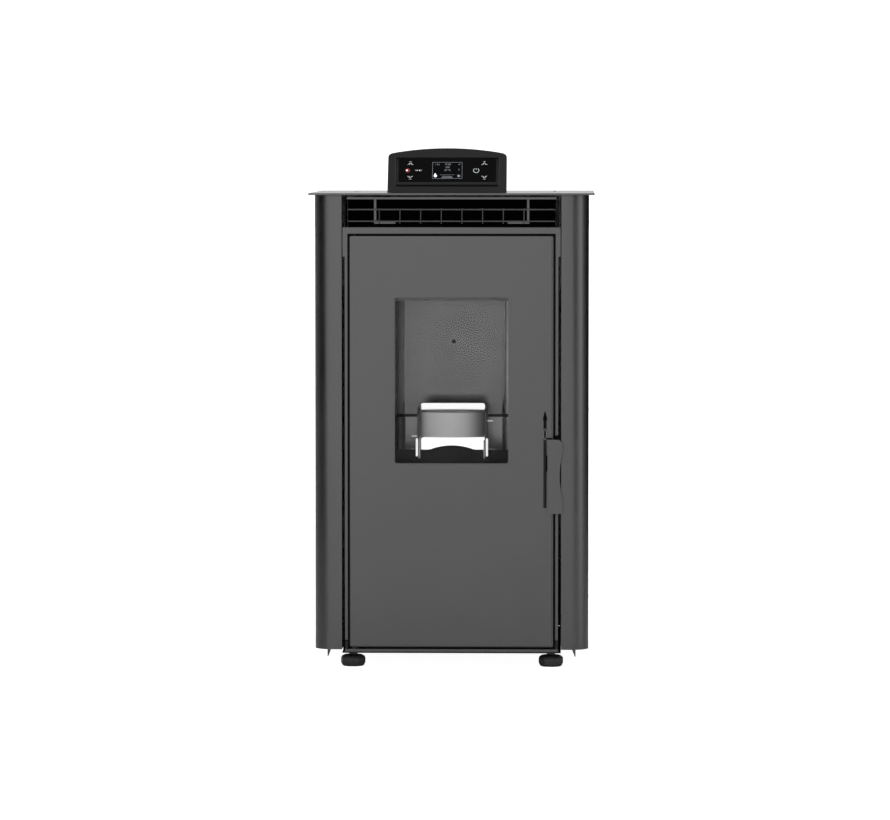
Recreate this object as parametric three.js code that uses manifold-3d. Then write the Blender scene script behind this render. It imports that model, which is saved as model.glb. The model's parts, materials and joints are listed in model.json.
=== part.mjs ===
// Free-standing pellet stove, in millimetres.
// X runs left to right, Y from the front of the door to the back, Z up from the floor.
import * as THREE from "three";
import { mergeVertices } from "three/addons/utils/BufferGeometryUtils.js";
import Module from "manifold-3d";

const wasm = await Module();
wasm.setup();

// ---------------------------------------------------------------- driving dimensions
const GAP = 0.3; // between pieces that touch
const SHEET = 1.5; // folded casing sheet
const PLATE = 3; // steel plate of the fire side, the frame and the door
const PLAY = 1; // round a piece that moves in an opening

// Levels above the floor, from the bottom up
const PAD_HEIGHT = 18.4;
const FOOT_NUT_HEIGHT = 6.1;
const TRAY_SHEET = 2;
const KICK_BAR_LIFT = 2.5;
const KICK_BAR_HEIGHT = 4;
const DOOR_END_GAP = 3.5;
const DOOR_HEIGHT = 668.5;
const SILL_HEIGHT = 10;
const OUTLET_HEIGHT = 45.5;
const LIP_HEIGHT = 3.4;
const LIP_GAP = 3.6;
const TOP_THICKNESS = 3;

// Widths
const DOOR_WIDTH = 331.2;
const DOOR_SIDE_GAP = 3.1;
const STRIP_WIDTH = 4.3;
const STRIP_WIDTH_ABOVE = 7.8;
const STRIP_STEP_BELOW_TOP = 103;
const PANEL_GAP = 5;
const PANEL_FACE = 44.7;
const TOP_SIDE_OVERHANG = 8.8;

// Depths
const CASE_DEPTH = 430;
const TOP_FRONT_OVERHANG = 8;
const TOP_REAR_OVERHANG = 2;
const FRAME_SETBACK = 2;
const FRAME_WEB_DEPTH = 55;
const PANEL_CORNER_RADIUS = 28;
const PANEL_SETBACK = 0.8;
const PANEL_LIFT = 6;

// Cooling slots of the rear panel
const VENT_X = -105;
const VENT_LEVEL = 150;
const VENT_WIDTH = 90;
const VENT_HEIGHT = 4;
const VENT_PITCH = 12;
const VENT_ROWS = 8;

// Feet
const PAD_RADIUS = 20;
const PAD_SIDES = 12;
const FOOT_INSET_X = 61.2;
const FOOT_INSET_Y = 40;
const STUD_RADIUS = 4;
const STUD_LENGTH = 36;
const WELD_NUT_RADIUS = 8;
const WELD_NUT_HEIGHT = 8;

// Door
const DOOR_RETURN = 14;
const DOOR_EDGE = 2;
const WINDOW_WIDTH = 184;
const WINDOW_HEIGHT = 269;
const WINDOW_LIFT = 299.5; // from the bottom of the door
const WINDOW_CORNER = 3.5;
const GLASS_THICKNESS = 4.3;
const GLASS_OVERLAP = 8.6;
const INNER_FRAME_BORDER = 27;
const INNER_FRAME_THICKNESS = 16.7;
const INNER_FRAME_REVEAL = 3;
const GASKET_WIDTH = 9;
const GASKET_DEPTH = 7.4;
const GASKET_MARGIN = 8;
const HINGE_INSET = 8;
const HINGE_PIN_RADIUS = 3.5;
const HINGE_PIN_REACH = 15;
const HINGE_COLLAR_RADIUS = 7;

// Handle and latch
const HANDLE_PIVOT_INSET = 13.8; // from the right edge of the door
const SLOT_WIDTH = 5;
const SLOT_BOTTOM = 262;
const SLOT_TOP = 420;
const SLOT_TIP = 14;
const HANDLE_ROD_RADIUS = 2;
const HANDLE_ROD_TOP = 404;
const HANDLE_BEARING_HEIGHT = 16;
const HANDLE_BOTTOM = 252.5;
const HANDLE_HEIGHT = 120.5;
const HANDLE_WIDTH = 24.9;
const HANDLE_THICKNESS = 3;
const HANDLE_STANDOFF = 2;
const HANDLE_OFFSET = 3.9; // from the pivot to the plate's left edge
const HANDLE_CORNER = 9;
const SCOOP_LOW = 276;
const SCOOP_LENGTH = 76;
const SCOOP_DEPTH = 5;
const LATCH_LEVEL = 334;
const LATCH_HEIGHT = 18;
const LATCH_REACH = 18;
const LATCH_ARM = 3;
const LATCH_FOOT = 12.5;
const KEEPER_LIP = 5.5;

// Fire side
const MOUTH_WIDTH = 187;
const MOUTH_TOP_ABOVE_WINDOW = -6;
const FIREBOX_DEPTH = 160; // from the front of the door to the fireback's face
const FIREBOX_FLOOR = 300;
const FIREBOX_HEIGHT = 357;
const FIREBOX_FRONT = 28;
const LINER_THICKNESS = 2.5;
const LINER_CORNER = 15;
const LINER_SPLIT = 403;
const LINER_SPLIT_GAP = 5.2;
const FIREBACK_SCREW_LEVEL = 525.4;
const FIREBACK_SCREW_RADIUS = 3.3;
const GUARD_TOP = 354.6;
const GUARD_ARCH_WIDTH = 72.5;
const GUARD_ARCH_RISE = 6.8;
const ASH_HOLE_WIDTH = 84;
const ASH_HOLE_DEPTH = 75;
const SMOKE_HOLE_WIDTH = 160;
const SMOKE_HOLE_DEPTH = 70;

// Burn pot
const POT_WIDTH = 105.4;
const POT_FRONT = 93;
const POT_REAR = 149.7;
const POT_BOTTOM = 346;
const POT_TOP = 427;
const POT_RIM_DROP = 6;
const POT_FLOOR_LIFT = 21;
const POT_CORNER = 4;
const POT_HOLE_RADIUS = 2.5;
const POT_HOLE_COLUMNS = 5;
const POT_HOLE_ROWS = 3;
const CHEEK_THICKNESS = 3.8;
const CHEEK_FRONT = 40;
const CHEEK_LEDGE = 8;
const HOLDER_BASE_WIDTH = 124;
const BAND_BOTTOM = 374;
const BAND_HEIGHT = 40;
const BAND_BULGE = 14;
const BAND_ENDS = 52;
const IGNITER_RADIUS = 5;
const IGNITER_LENGTH = 89;
const IGNITER_LEVEL = 382;

// Ash drawer
const DRAWER_HEIGHT = 76;
const DRAWER_DEPTH = 125;
const DRAWER_CELL_HEIGHT = 86;
const DRAWER_FLOOR_BELOW = 91; // from the firebox floor to the bottom of the drawer's cell
const DRAWER_FRONT_THICKNESS = 3.7;
const DRAWER_PULL_WIDTH = 60;
const DRAWER_PULL_DEPTH = 14;

// Heat exchanger and ducts
const EXCHANGER_HEIGHT = 49.7;
const EXCHANGER_FRONT = 64;
const EXCHANGER_REAR = 150;
const EXCHANGER_WALL = 2;
const TUBE_RADIUS = 13;
const TUBE_WALL = 1.5;
const TUBE_COUNT = 5;
const TUBE_PITCH = 38;
const PLENUM_DEPTH = 103;
const DUCT_WALL = 1.5;
const RISER_WIDTH = 56;
const RISER_OUTSET = 12.7; // from the firebox wall
const RISER_DEPTH = 38;
const HEADER_DEPTH = 15.7;
const SMOKE_DUCT_WIDTH = 42;
const SMOKE_DUCT_DEPTH = 38;
const SMOKE_DUCT_OUTSET = 16.7;

// Fans
const SMOKE_FAN_X = 75;
const SMOKE_FAN_Z = 150;
const SMOKE_FAN_RADIUS = 72;
const SMOKE_FAN_FRONT = 205;
const SMOKE_FAN_WIDTH = 40;
const SMOKE_WHEEL_RADIUS = 60;
const SMOKE_INLET_RADIUS = 30;
const FLUE_RADIUS = 40;
const FLUE_WALL = 2;
const FLUE_X = 150;
const FLUE_Z = 110;
const FLUE_PROUD = 42;
const ROOM_FAN_X = -95;
const ROOM_FAN_Z = 130;
const ROOM_FAN_RADIUS = 66;
const ROOM_WHEEL_RADIUS = 50;
const ROOM_INLET_RADIUS = 36;
const FAN_WALL = 2;
const MOTOR_RADIUS = 28;
const MOTOR_LENGTH = 55;
const SHAFT_RADIUS = 4;
const WHEEL_GAP = 6;
const WHEEL_SHAFT = 20;
const HUB_RADIUS = 11;
const BLADE_COUNT = 10;
const BLADE_THICKNESS = 2;

// Combustion air pipe
const INTAKE_RADIUS = 24;
const INTAKE_WALL = 1.5;
const INTAKE_Z = 328;
const INTAKE_PROUD = 25;

// Hopper, auger and their places. The auger climbs forward at 45 degrees.
const HOPPER_WIDTH = 380;
const HOPPER_FRONT = 215;
const HOPPER_REAR_GAP = 3.5; // to the rear panel
const HOPPER_WALL = 2;
const HOPPER_FUNNEL_TOP = 620;
const HOPPER_TROUGH_WIDTH = 72;
const HOPPER_REAR_SLOPE_TOP = 640;
const AUGER_TILT = Math.PI / 4;
const AUGER_TOP_Y = 190;
const AUGER_TOP_Z = 665;
const AUGER_REAR_GAP = 11.8; // from the motor to the rear panel
const AUGER_TUBE_RADIUS = 29;
const AUGER_TUBE_WALL = 2;
const AUGER_CLEARANCE = 1.5;
const AUGER_SHAFT_RADIUS = 7;
const AUGER_PITCH = 45;
const AUGER_FLIGHT_THICKNESS = 3;
const AUGER_INTAKE_LENGTH = 80;
const AUGER_FLOOR_GAP = 2;
const AUGER_MOTOR_LENGTH = 68;
const SPOUT_WIDTH = 52;
const SPOUT_BOTTOM = 605;
const SPOUT_HEIGHT = 40;
const GRID_LEVEL = 742;
const GRID_COLUMNS = 1;
const GRID_ROWS = 4;
const GRID_BAR = 10;

// Lid of the hopper
const LID_WIDTH = 330;
const LID_FRONT_INSET = 11; // from the hopper's front
const LID_REAR_INSET = 7; // from the hopper's back
const LID_GAP = 2;
const LID_REAR_GAP = 5;
const LID_FLANGE = 14;
const LID_PIN_RADIUS = 2.5;
const LID_PIN_INSET = 5;
const LID_PIN_DROP = 7.5;

// Air grille in front of the outlet
const RAIL_RADIUS = 1.5;
const RAIL_LENGTH = 336;
const RAIL_HIGH = 745.4;
const RAIL_LOW = 726.3;
const RAIL_Y = 12;
const WIRE_RADIUS = 1;
const WIRE_PITCH = 33.5;
const WIRE_COUNT = 8;
const STRAP_X = 124;
const STRAP_WIDTH = 3.6;
const STRAP_THICKNESS = 2.4;
const STRAP_FOOT = 33;

// Console
const CONSOLE_X = -7.2;
const CONSOLE_FRONT = -6;
const CONSOLE_WIDTH = 192.6;
const CONSOLE_TILT = THREE.MathUtils.degToRad(36);
const CONSOLE_SLOPE = 89.3;
const CONSOLE_ARC_RADIUS = 410;
const CONSOLE_CORNER = 8;
const CONSOLE_FACE = 5;
const CONSOLE_SLAB = 14;
const CONSOLE_REAR = 108;
const CONSOLE_WALL = 6;
const RECESS_WIDTH = 167.8;
const RECESS_BOTTOM = 12.6;
const RECESS_TOP = 70.6;
const RECESS_DEPTH = 2.4;
const OVERLAY_WIDTH = 157.8;
const OVERLAY_BOTTOM = 23.3;
const OVERLAY_TOP = 69.8;
const OVERLAY_THICKNESS = 1.5;
const LCD_WIDTH = 48.7;
const LCD_BOTTOM = 28.5;
const LCD_HEIGHT = 33.5;
const KEY_RADIUS = 6.2;
const KEY_THICKNESS = 4;
const KEY_DEPTH = 0.4; // the key's face below the housing's face
const BOARD_DEPTH = 5.6;
const BOARD_THICKNESS = 1.6;
const KEY_OUTER_X = 60;
const KEY_INNER_X = 46.8;
const KEY_UPPER = 58.6;
const KEY_MIDDLE = 45;
const KEY_LOWER = 31.8;
const KEYS = [
  ["key_heat_up", -KEY_OUTER_X, KEY_UPPER],
  ["key_set", -KEY_INNER_X, KEY_MIDDLE],
  ["key_heat_down", -KEY_OUTER_X, KEY_LOWER],
  ["key_power", KEY_INNER_X, KEY_MIDDLE],
  ["key_fan_up", KEY_OUTER_X, KEY_UPPER],
  ["key_fan_down", KEY_OUTER_X, KEY_LOWER],
];

// Mains inlet
const INLET_X = -150;
const INLET_Z = 70;
const INLET_WIDTH = 28;
const INLET_DEPTH = 30;
const SOCKET_HEIGHT = 19;
const ROCKER_HEIGHT = 16;
const ROCKER_WIDTH = 14;
const ROCKER_REST = THREE.MathUtils.degToRad(-8);

// ---------------------------------------------------------------- levels and lines worked out
const TRAY_BOTTOM = PAD_HEIGHT + FOOT_NUT_HEIGHT;
const TRAY_TOP = TRAY_BOTTOM + TRAY_SHEET;
const KICK_BOTTOM = TRAY_BOTTOM + KICK_BAR_LIFT;
const KICK_TOP = KICK_BOTTOM + KICK_BAR_HEIGHT;
const DOOR_BOTTOM = KICK_TOP + DOOR_END_GAP;
const DOOR_TOP = DOOR_BOTTOM + DOOR_HEIGHT;
const SILL_BOTTOM = DOOR_TOP + DOOR_END_GAP;
const SILL_TOP = SILL_BOTTOM + SILL_HEIGHT;
const OUTLET_TOP = SILL_TOP + OUTLET_HEIGHT;
const LIP_TOP = OUTLET_TOP + LIP_HEIGHT;
const TOP_UNDER = LIP_TOP + LIP_GAP;
const TOP = TOP_UNDER + TOP_THICKNESS;
const PANEL_BOTTOM = TRAY_BOTTOM + PANEL_LIFT;

const DOOR_HALF = DOOR_WIDTH / 2;
const STRIP_IN = DOOR_HALF + DOOR_SIDE_GAP;
const STRIP_OUT = STRIP_IN + STRIP_WIDTH;
const PANEL_IN = STRIP_OUT + PANEL_GAP;
const CASE_HALF = PANEL_IN + PANEL_FACE;
const TOP_HALF = CASE_HALF + TOP_SIDE_OVERHANG;
const TRAY_HALF = PANEL_IN - GAP;
const FRAME_FACE_BACK = FRAME_SETBACK + SHEET;
const BACK_PANEL_FRONT = CASE_DEPTH - SHEET;
const PANEL_BACK = BACK_PANEL_FRONT - GAP;
const FLUE_END = CASE_DEPTH + FLUE_PROUD;
const MID_Y = (FLUE_END - TOP_FRONT_OVERHANG) / 2;

const HINGE_X = HINGE_INSET - DOOR_HALF;
const HANDLE_X = DOOR_HALF - HANDLE_PIVOT_INSET;
const WINDOW_BOTTOM = DOOR_BOTTOM + WINDOW_LIFT;
const WINDOW_TOP = WINDOW_BOTTOM + WINDOW_HEIGHT;
const INNER_FRAME_FRONT = PLATE + GAP;
const INNER_FRAME_BACK = INNER_FRAME_FRONT + INNER_FRAME_THICKNESS;
const FIREBOX_FLANGE_BACK = FIREBOX_FRONT + PLATE;

const MOUTH_HALF = MOUTH_WIDTH / 2;
const LINER_OUT = MOUTH_HALF + LINER_THICKNESS;
const CHAMBER_HALF = LINER_OUT + GAP;
const CHAMBER_REAR = FIREBOX_DEPTH + LINER_THICKNESS + GAP;
const FIREBOX_HALF = CHAMBER_HALF + PLATE;
const FIREBOX_REAR = CHAMBER_REAR + PLATE;
const FIREBOX_ROOF = FIREBOX_FLOOR + FIREBOX_HEIGHT;
const FIREBOX_TOP = FIREBOX_ROOF + PLATE;
const CELL_BOTTOM = FIREBOX_FLOOR - DRAWER_FLOOR_BELOW;
const CELL_TOP = CELL_BOTTOM + DRAWER_CELL_HEIGHT;
const ASH_HOLE_FRONT = POT_FRONT - 20;
const SMOKE_HOLE_FRONT = EXCHANGER_FRONT + 6;

const POT_HALF = POT_WIDTH / 2;
const CHEEK_IN = POT_HALF + GAP;
const CHEEK_OUT = CHEEK_IN + CHEEK_THICKNESS;

const EXCHANGER_BOTTOM = FIREBOX_TOP + GAP;
const EXCHANGER_TOP = EXCHANGER_BOTTOM + EXCHANGER_HEIGHT;
const TUBE_LEVEL = (EXCHANGER_BOTTOM + EXCHANGER_TOP) / 2 + 3;
const DUCT_BOTTOM = FIREBOX_TOP + 4;
const DUCT_TOP = EXCHANGER_TOP - 2;
const RISER_IN = FIREBOX_HALF + RISER_OUTSET;
const RISER_BACK = EXCHANGER_REAR + GAP + HEADER_DEPTH;
const RISER_FRONT = RISER_BACK - RISER_DEPTH;
const SMOKE_DUCT_IN = FIREBOX_HALF + SMOKE_DUCT_OUTSET;
const SMOKE_DUCT_OUT = SMOKE_DUCT_IN + SMOKE_DUCT_WIDTH;
const SMOKE_DUCT_FRONT = EXCHANGER_REAR - SMOKE_DUCT_DEPTH;
const SMOKE_FAN_BACK = SMOKE_FAN_FRONT + SMOKE_FAN_WIDTH;
const ROOM_FAN_TOP = ROOM_FAN_Z + ROOM_FAN_RADIUS + 35;

const AUGER_BORE = AUGER_TUBE_RADIUS - AUGER_TUBE_WALL;
const AUGER_RUN = CASE_DEPTH - SHEET - AUGER_REAR_GAP - AUGER_TOP_Y - (MOTOR_RADIUS - 4) * Math.sin(AUGER_TILT);
const AUGER_LENGTH = AUGER_RUN / Math.cos(AUGER_TILT) - AUGER_MOTOR_LENGTH - 2 * GAP - HOPPER_WALL;
const AUGER_END = AUGER_LENGTH + GAP + HOPPER_WALL; // outer face of the hopper's end wall
const AUGER_FLOOR = AUGER_TUBE_RADIUS + AUGER_FLOOR_GAP + HOPPER_WALL;
const HOPPER_TOP = TOP_UNDER - GAP;
const HOPPER_REAR = CASE_DEPTH - SHEET - HOPPER_REAR_GAP;
const HOPPER_HALF = HOPPER_WIDTH / 2;
const LID_HALF = LID_WIDTH / 2;
const LID_FRONT = HOPPER_FRONT + LID_FRONT_INSET;
const LID_REAR = HOPPER_REAR - LID_REAR_INSET;
const LID_PIN_Y = LID_REAR - LID_PIN_INSET;
const LID_PIN_Z = TOP - LID_PIN_DROP;
const MOUTH_X = LID_HALF + LID_GAP;

// ---------------------------------------------------------------- making and joining solids
// A closed geometry becomes a solid once its shared corners are merged.
function toSolid(geometry) {
  geometry.deleteAttribute("normal");
  geometry.deleteAttribute("uv");
  const merged = mergeVertices(geometry, 1e-4);
  return new wasm.Manifold(new wasm.Mesh({
    numProp: 3,
    vertProperties: Float32Array.from(merged.attributes.position.array),
    triVerts: Uint32Array.from(merged.index.array),
  }));
}

function toGeometry(solid) {
  const mesh = solid.getMesh();
  const geometry = new THREE.BufferGeometry();
  geometry.setAttribute("position", new THREE.BufferAttribute(mesh.vertProperties, 3));
  geometry.setIndex(new THREE.BufferAttribute(mesh.triVerts, 1));
  geometry.computeVertexNormals();
  return geometry;
}

const join = (...solids) => solids.reduce((whole, next) => whole.add(next));
const cut = (solid, ...tools) => tools.reduce((rest, tool) => rest.subtract(tool), solid);
const spread = (half) => [-half, half];
const range = (count) => Array.from({ length: count }, (_, index) => index);

function block([x0, x1], [y0, y1], [z0, z1]) {
  const box = new THREE.BoxGeometry(x1 - x0, y1 - y0, z1 - z0);
  return toSolid(box.translate((x0 + x1) / 2, (y0 + y1) / 2, (z0 + z1) / 2));
}

// Outlines drawn in X and Y and raised in Z; in X and Z and pushed back in Y; in Y and Z, along X.
const STAND_UP = new THREE.Matrix4().makeRotationX(Math.PI / 2);
const TURN_SIDEWAYS = new THREE.Matrix4().set(0, 0, 1, 0, 1, 0, 0, 0, 0, 1, 0, 0, 0, 0, 0, 1);

function extruded(shape, depth, curveSegments) {
  return new THREE.ExtrudeGeometry(shape, { depth, bevelEnabled: false, curveSegments });
}

function plateZ(shape, [z0, z1], curveSegments = 6) {
  return toSolid(extruded(shape, z1 - z0, curveSegments).translate(0, 0, z0));
}

function plateY(shape, [y0, y1], curveSegments = 6) {
  return toSolid(extruded(shape, y1 - y0, curveSegments).applyMatrix4(STAND_UP).translate(0, y1, 0));
}

function plateX(shape, [x0, x1], curveSegments = 6) {
  return toSolid(extruded(shape, x1 - x0, curveSegments).applyMatrix4(TURN_SIDEWAYS).translate(x0, 0, 0));
}

// A round bar from one end to the other along an axis; the centre is given in the other two.
function bar(axis, [a, b], radius, [from, to], sides = 16) {
  const geometry = new THREE.CylinderGeometry(radius, radius, to - from, sides);
  const middle = (from + to) / 2;
  if (axis === "x") {
    geometry.rotateZ(-Math.PI / 2).translate(middle, a, b);
  } else if (axis === "y") {
    geometry.translate(a, middle, b);
  } else {
    geometry.rotateX(Math.PI / 2).translate(a, b, middle);
  }
  return toSolid(geometry);
}

// ---------------------------------------------------------------- outlines
const polygon = (points) => new THREE.Shape(points.map(([x, y]) => new THREE.Vector2(x, y)));

function arcPoints([cx, cy], radius, from, to, steps) {
  return range(steps + 1).map((index) => {
    const angle = from + ((to - from) * index) / steps;
    return [cx + radius * Math.cos(angle), cy + radius * Math.sin(angle)];
  });
}

function roundedBox([x0, x1], [z0, z1], radius) {
  return polygon([
    ...arcPoints([x1 - radius, z0 + radius], radius, -Math.PI / 2, 0, 4),
    ...arcPoints([x1 - radius, z1 - radius], radius, 0, Math.PI / 2, 4),
    ...arcPoints([x0 + radius, z1 - radius], radius, Math.PI / 2, Math.PI, 4),
    ...arcPoints([x0 + radius, z0 + radius], radius, Math.PI, 1.5 * Math.PI, 4),
  ]);
}

// A shallow arc over a chord from (-half, base) to (half, base), given as points from right to left.
function crownPoints(half, base, rise, steps) {
  const radius = (half * half + rise * rise) / (2 * rise);
  const angle = Math.asin(half / radius);
  return arcPoints([0, base + rise - radius], radius, Math.PI / 2 - angle, Math.PI / 2 + angle, steps);
}

// ---------------------------------------------------------------- scene graph and finishes
const stove = new THREE.Group();
const casing = new THREE.Group();
casing.position.y = -MID_Y; // the origin lies under the middle of the whole stove
stove.add(casing);

const FINISHES = {
  paint: [0x5e5e5e, 0.55, 0.2],
  darkPaint: [0x2b2b2b, 0.7, 0.1],
  plastic: [0x2c2c2c, 0.5, 0],
  gloss: [0x0c0c0c, 0.1, 0],
  stainless: [0xe6e6e6, 0.3, 1],
  zinc: [0xb4b8ba, 0.4, 0.9],
  castIron: [0x454545, 0.8, 0.4],
  glass: [0xf2f5f5, 0.05, 0],
  rope: [0x8c8c86, 0.95, 0],
  board: [0x1f5a36, 0.6, 0],
  foot: [0x3a3a3a, 0.6, 0],
};

function finish(name) {
  const [color, roughness, metalness] = FINISHES[name];
  return new THREE.MeshStandardMaterial({ color, roughness, metalness });
}

function addPart(name, solid, finishName, parent = casing) {
  const mesh = new THREE.Mesh(toGeometry(solid), finish(finishName));
  mesh.name = name;
  parent.add(mesh);
  return mesh;
}

// ---------------------------------------------------------------- casing
function baseTray() {
  const floor = block(spread(TRAY_HALF), [FRAME_FACE_BACK + 1, PANEL_BACK], [TRAY_BOTTOM, TRAY_TOP]);
  const upstand = block(spread(STRIP_OUT), [FRAME_FACE_BACK - 0.5, FRAME_FACE_BACK + 1.5], [TRAY_BOTTOM, KICK_TOP]);
  const kickBar = block(spread(STRIP_OUT), [FRAME_SETBACK, FRAME_FACE_BACK + 1.5], [KICK_BOTTOM, KICK_TOP]);
  const cornerTop = DOOR_BOTTOM + 10;
  const corners = [-1, 1].map((side) => block(
    [STRIP_IN, STRIP_OUT].map((x) => side * x).sort((a, b) => a - b),
    [FRAME_SETBACK, FRAME_FACE_BACK],
    [KICK_BOTTOM, cornerTop],
  ));
  const sideWalls = [-1, 1].map((side) => block(
    [TRAY_HALF - SHEET, TRAY_HALF].map((x) => side * x).sort((a, b) => a - b),
    [FRAME_SETBACK + 30, PANEL_BACK],
    [TRAY_BOTTOM, TRAY_TOP + 32],
  ));
  const hingeTab = block([HINGE_X - 10, HINGE_X + 14], [FRAME_SETBACK, 20], [KICK_BOTTOM, KICK_TOP]);
  const nuts = FOOT_PLACES.map(([, x, y]) => bar("z", [x, y], WELD_NUT_RADIUS, [TRAY_TOP - 0.2, TRAY_TOP + WELD_NUT_HEIGHT], 6));
  const holes = FOOT_PLACES.map(([, x, y]) => bar("z", [x, y], STUD_RADIUS + GAP, [TRAY_BOTTOM - 1, TRAY_TOP + WELD_NUT_HEIGHT + 1]));
  const pinHole = bar("z", [HINGE_X, HINGE_INSET], HINGE_PIN_RADIUS + GAP, [TRAY_TOP, KICK_TOP + 1]);
  return cut(join(floor, upstand, kickBar, ...corners, ...sideWalls, hingeTab, ...nuts), ...holes, pinHole);
}

// The folded sheet runs round the front corner; a gusset behind its face ends in a small tab.
function sidePanel(side) {
  const front = PANEL_SETBACK;
  const radius = PANEL_CORNER_RADIUS;
  const centre = [CASE_HALF - radius, front + radius];
  const sheetOutline = [
    [PANEL_IN, front + 13],
    [PANEL_IN, front],
    ...arcPoints(centre, radius, -Math.PI / 2, 0, 8),
    [CASE_HALF, PANEL_BACK],
    [CASE_HALF - SHEET, PANEL_BACK],
    ...arcPoints(centre, radius - SHEET, 0, -Math.PI / 2, 8),
    [PANEL_IN + SHEET, front + SHEET],
    [PANEL_IN + SHEET, front + 13],
  ];
  const sheet = plateZ(polygon(sheetOutline.map(([x, y]) => [side * x, y])), [PANEL_BOTTOM, TOP_UNDER - GAP]);
  const bottomOutline = [
    [PANEL_IN, PANEL_BACK],
    [PANEL_IN, front],
    ...arcPoints(centre, radius, -Math.PI / 2, 0, 8),
    [CASE_HALF, PANEL_BACK],
  ];
  const bottom = plateZ(
    polygon(bottomOutline.map(([x, y]) => [side * x, y])),
    [PANEL_BOTTOM, PANEL_BOTTOM + SHEET],
  );
  const tabX = PANEL_IN + 23;
  const gusset = plateX(polygon([
    [front + 0.5, PANEL_BOTTOM + 30],
    [front + 0.5, PANEL_BOTTOM - 4],
    [front + 3, PANEL_BOTTOM - 11.5],
    [front + 7, PANEL_BOTTOM - 11.5],
    [front + 24, PANEL_BOTTOM + 8],
    [front + 24, PANEL_BOTTOM + 30],
  ]), [tabX - SHEET / 2, tabX + SHEET / 2].map((x) => side * x).sort((a, b) => a - b));
  const tab = plateY(polygon([
    [side * (tabX + SHEET / 2), PANEL_BOTTOM + 1],
    [side * (tabX - 5.5), PANEL_BOTTOM + 1],
    [side * (tabX - SHEET / 2), PANEL_BOTTOM - 11],
    [side * (tabX + SHEET / 2), PANEL_BOTTOM - 11],
  ]), [front + 3, front + 4.5]);
  return join(sheet, bottom, gusset, tab);
}

function topPlate() {
  const plate = block(spread(TOP_HALF), [-TOP_FRONT_OVERHANG, CASE_DEPTH + TOP_REAR_OVERHANG], [TOP_UNDER, TOP]);
  const mouth = block(spread(MOUTH_X), [LID_FRONT - LID_GAP, LID_REAR + LID_REAR_GAP], [TOP_UNDER - 1, TOP + 1]);
  const cableSlot = block([CONSOLE_X - 15, CONSOLE_X + 15], [30, 45], [TOP_UNDER - 1, TOP + 1]);
  const lugs = [-1, 1].map((side) => block(
    [MOUTH_X + GAP, MOUTH_X + GAP + PLATE].map((x) => side * x).sort((a, b) => a - b),
    [LID_PIN_Y - 8, LID_PIN_Y + 7],
    [LID_PIN_Z - 6, TOP_UNDER + 0.5],
  ));
  const pinHole = bar("x", [LID_PIN_Y, LID_PIN_Z], LID_PIN_RADIUS + GAP, spread(MOUTH_X + 10));
  return cut(join(cut(plate, mouth, cableSlot), ...lugs), pinHole);
}

function rearPanel() {
  const panel = block(spread(CASE_HALF - SHEET - GAP), [BACK_PANEL_FRONT, CASE_DEPTH], [TRAY_TOP + GAP, TOP_UNDER - GAP]);
  const through = [BACK_PANEL_FRONT - 1, CASE_DEPTH + 1];
  const flueHole = bar("y", [FLUE_X, FLUE_Z], FLUE_RADIUS + GAP, through, 48);
  const intakeHole = bar("y", [0, INTAKE_Z], INTAKE_RADIUS + GAP, through, 36);
  const inletHole = block(
    spread(INLET_WIDTH / 2 + GAP).map((x) => x + INLET_X),
    through,
    [INLET_Z - GAP, INLET_Z + INLET_HEIGHT + GAP],
  );
  const vents = range(VENT_ROWS).map((index) => block(
    [VENT_X - VENT_WIDTH / 2, VENT_X + VENT_WIDTH / 2],
    through,
    [VENT_LEVEL + index * VENT_PITCH, VENT_LEVEL + VENT_HEIGHT + index * VENT_PITCH],
  ));
  return cut(panel, flueHole, intakeHole, inletHole, ...vents);
}

// Two posts beside the door with a sill over it. Webs set back behind the air outlet carry its lip.
function frontFrame() {
  const face = [FRAME_SETBACK, FRAME_FACE_BACK];
  const postBottom = DOOR_BOTTOM + 11.5;
  const stepLevel = TOP - STRIP_STEP_BELOW_TOP;
  const outletWebFront = RAIL_Y + 3;
  const posts = [-1, 1].flatMap((side) => {
    const across = (a, b) => [side * a, side * b].sort((p, q) => p - q);
    return [
      block(across(STRIP_IN, STRIP_OUT), face, [postBottom, SILL_TOP]),
      block(across(STRIP_IN, STRIP_IN + STRIP_WIDTH_ABOVE), face, [stepLevel, SILL_TOP]),
      block(across(STRIP_OUT - SHEET, STRIP_OUT), [FRAME_SETBACK + 0.5, FRAME_WEB_DEPTH], [postBottom, SILL_TOP]),
      block(across(STRIP_OUT - SHEET, STRIP_OUT), [FRAME_FACE_BACK + 4, FRAME_WEB_DEPTH], [TRAY_TOP + GAP, SILL_TOP]),
      block(across(STRIP_OUT - SHEET, STRIP_OUT), [outletWebFront, FRAME_WEB_DEPTH], [SILL_TOP - 1, TOP_UNDER - GAP]),
    ];
  });
  const across = spread(STRIP_IN + 1);
  const sill = [
    block(across, face, [SILL_BOTTOM, SILL_TOP]),
    block(across, [FRAME_SETBACK + 0.5, 30], [SILL_TOP - TRAY_SHEET, SILL_TOP]),
    block(across, [FRAME_SETBACK + 0.5, 20], [SILL_BOTTOM, SILL_BOTTOM + TRAY_SHEET]),
  ];
  const lip = [
    block(across, face, [OUTLET_TOP, LIP_TOP]),
    block(across, [FRAME_SETBACK + 0.5, RAIL_Y + 6], [LIP_TOP - TRAY_SHEET, LIP_TOP]),
    block(spread(STRIP_OUT - SHEET / 2), [outletWebFront, RAIL_Y + 6], [LIP_TOP - TRAY_SHEET, LIP_TOP]),
  ];
  const pinHole = bar("z", [HINGE_X, HINGE_INSET], HINGE_PIN_RADIUS + GAP, [SILL_BOTTOM - 1, SILL_BOTTOM + TRAY_SHEET + 1]);
  return cut(join(...posts, ...sill, ...lip), pinHole);
}

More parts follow.
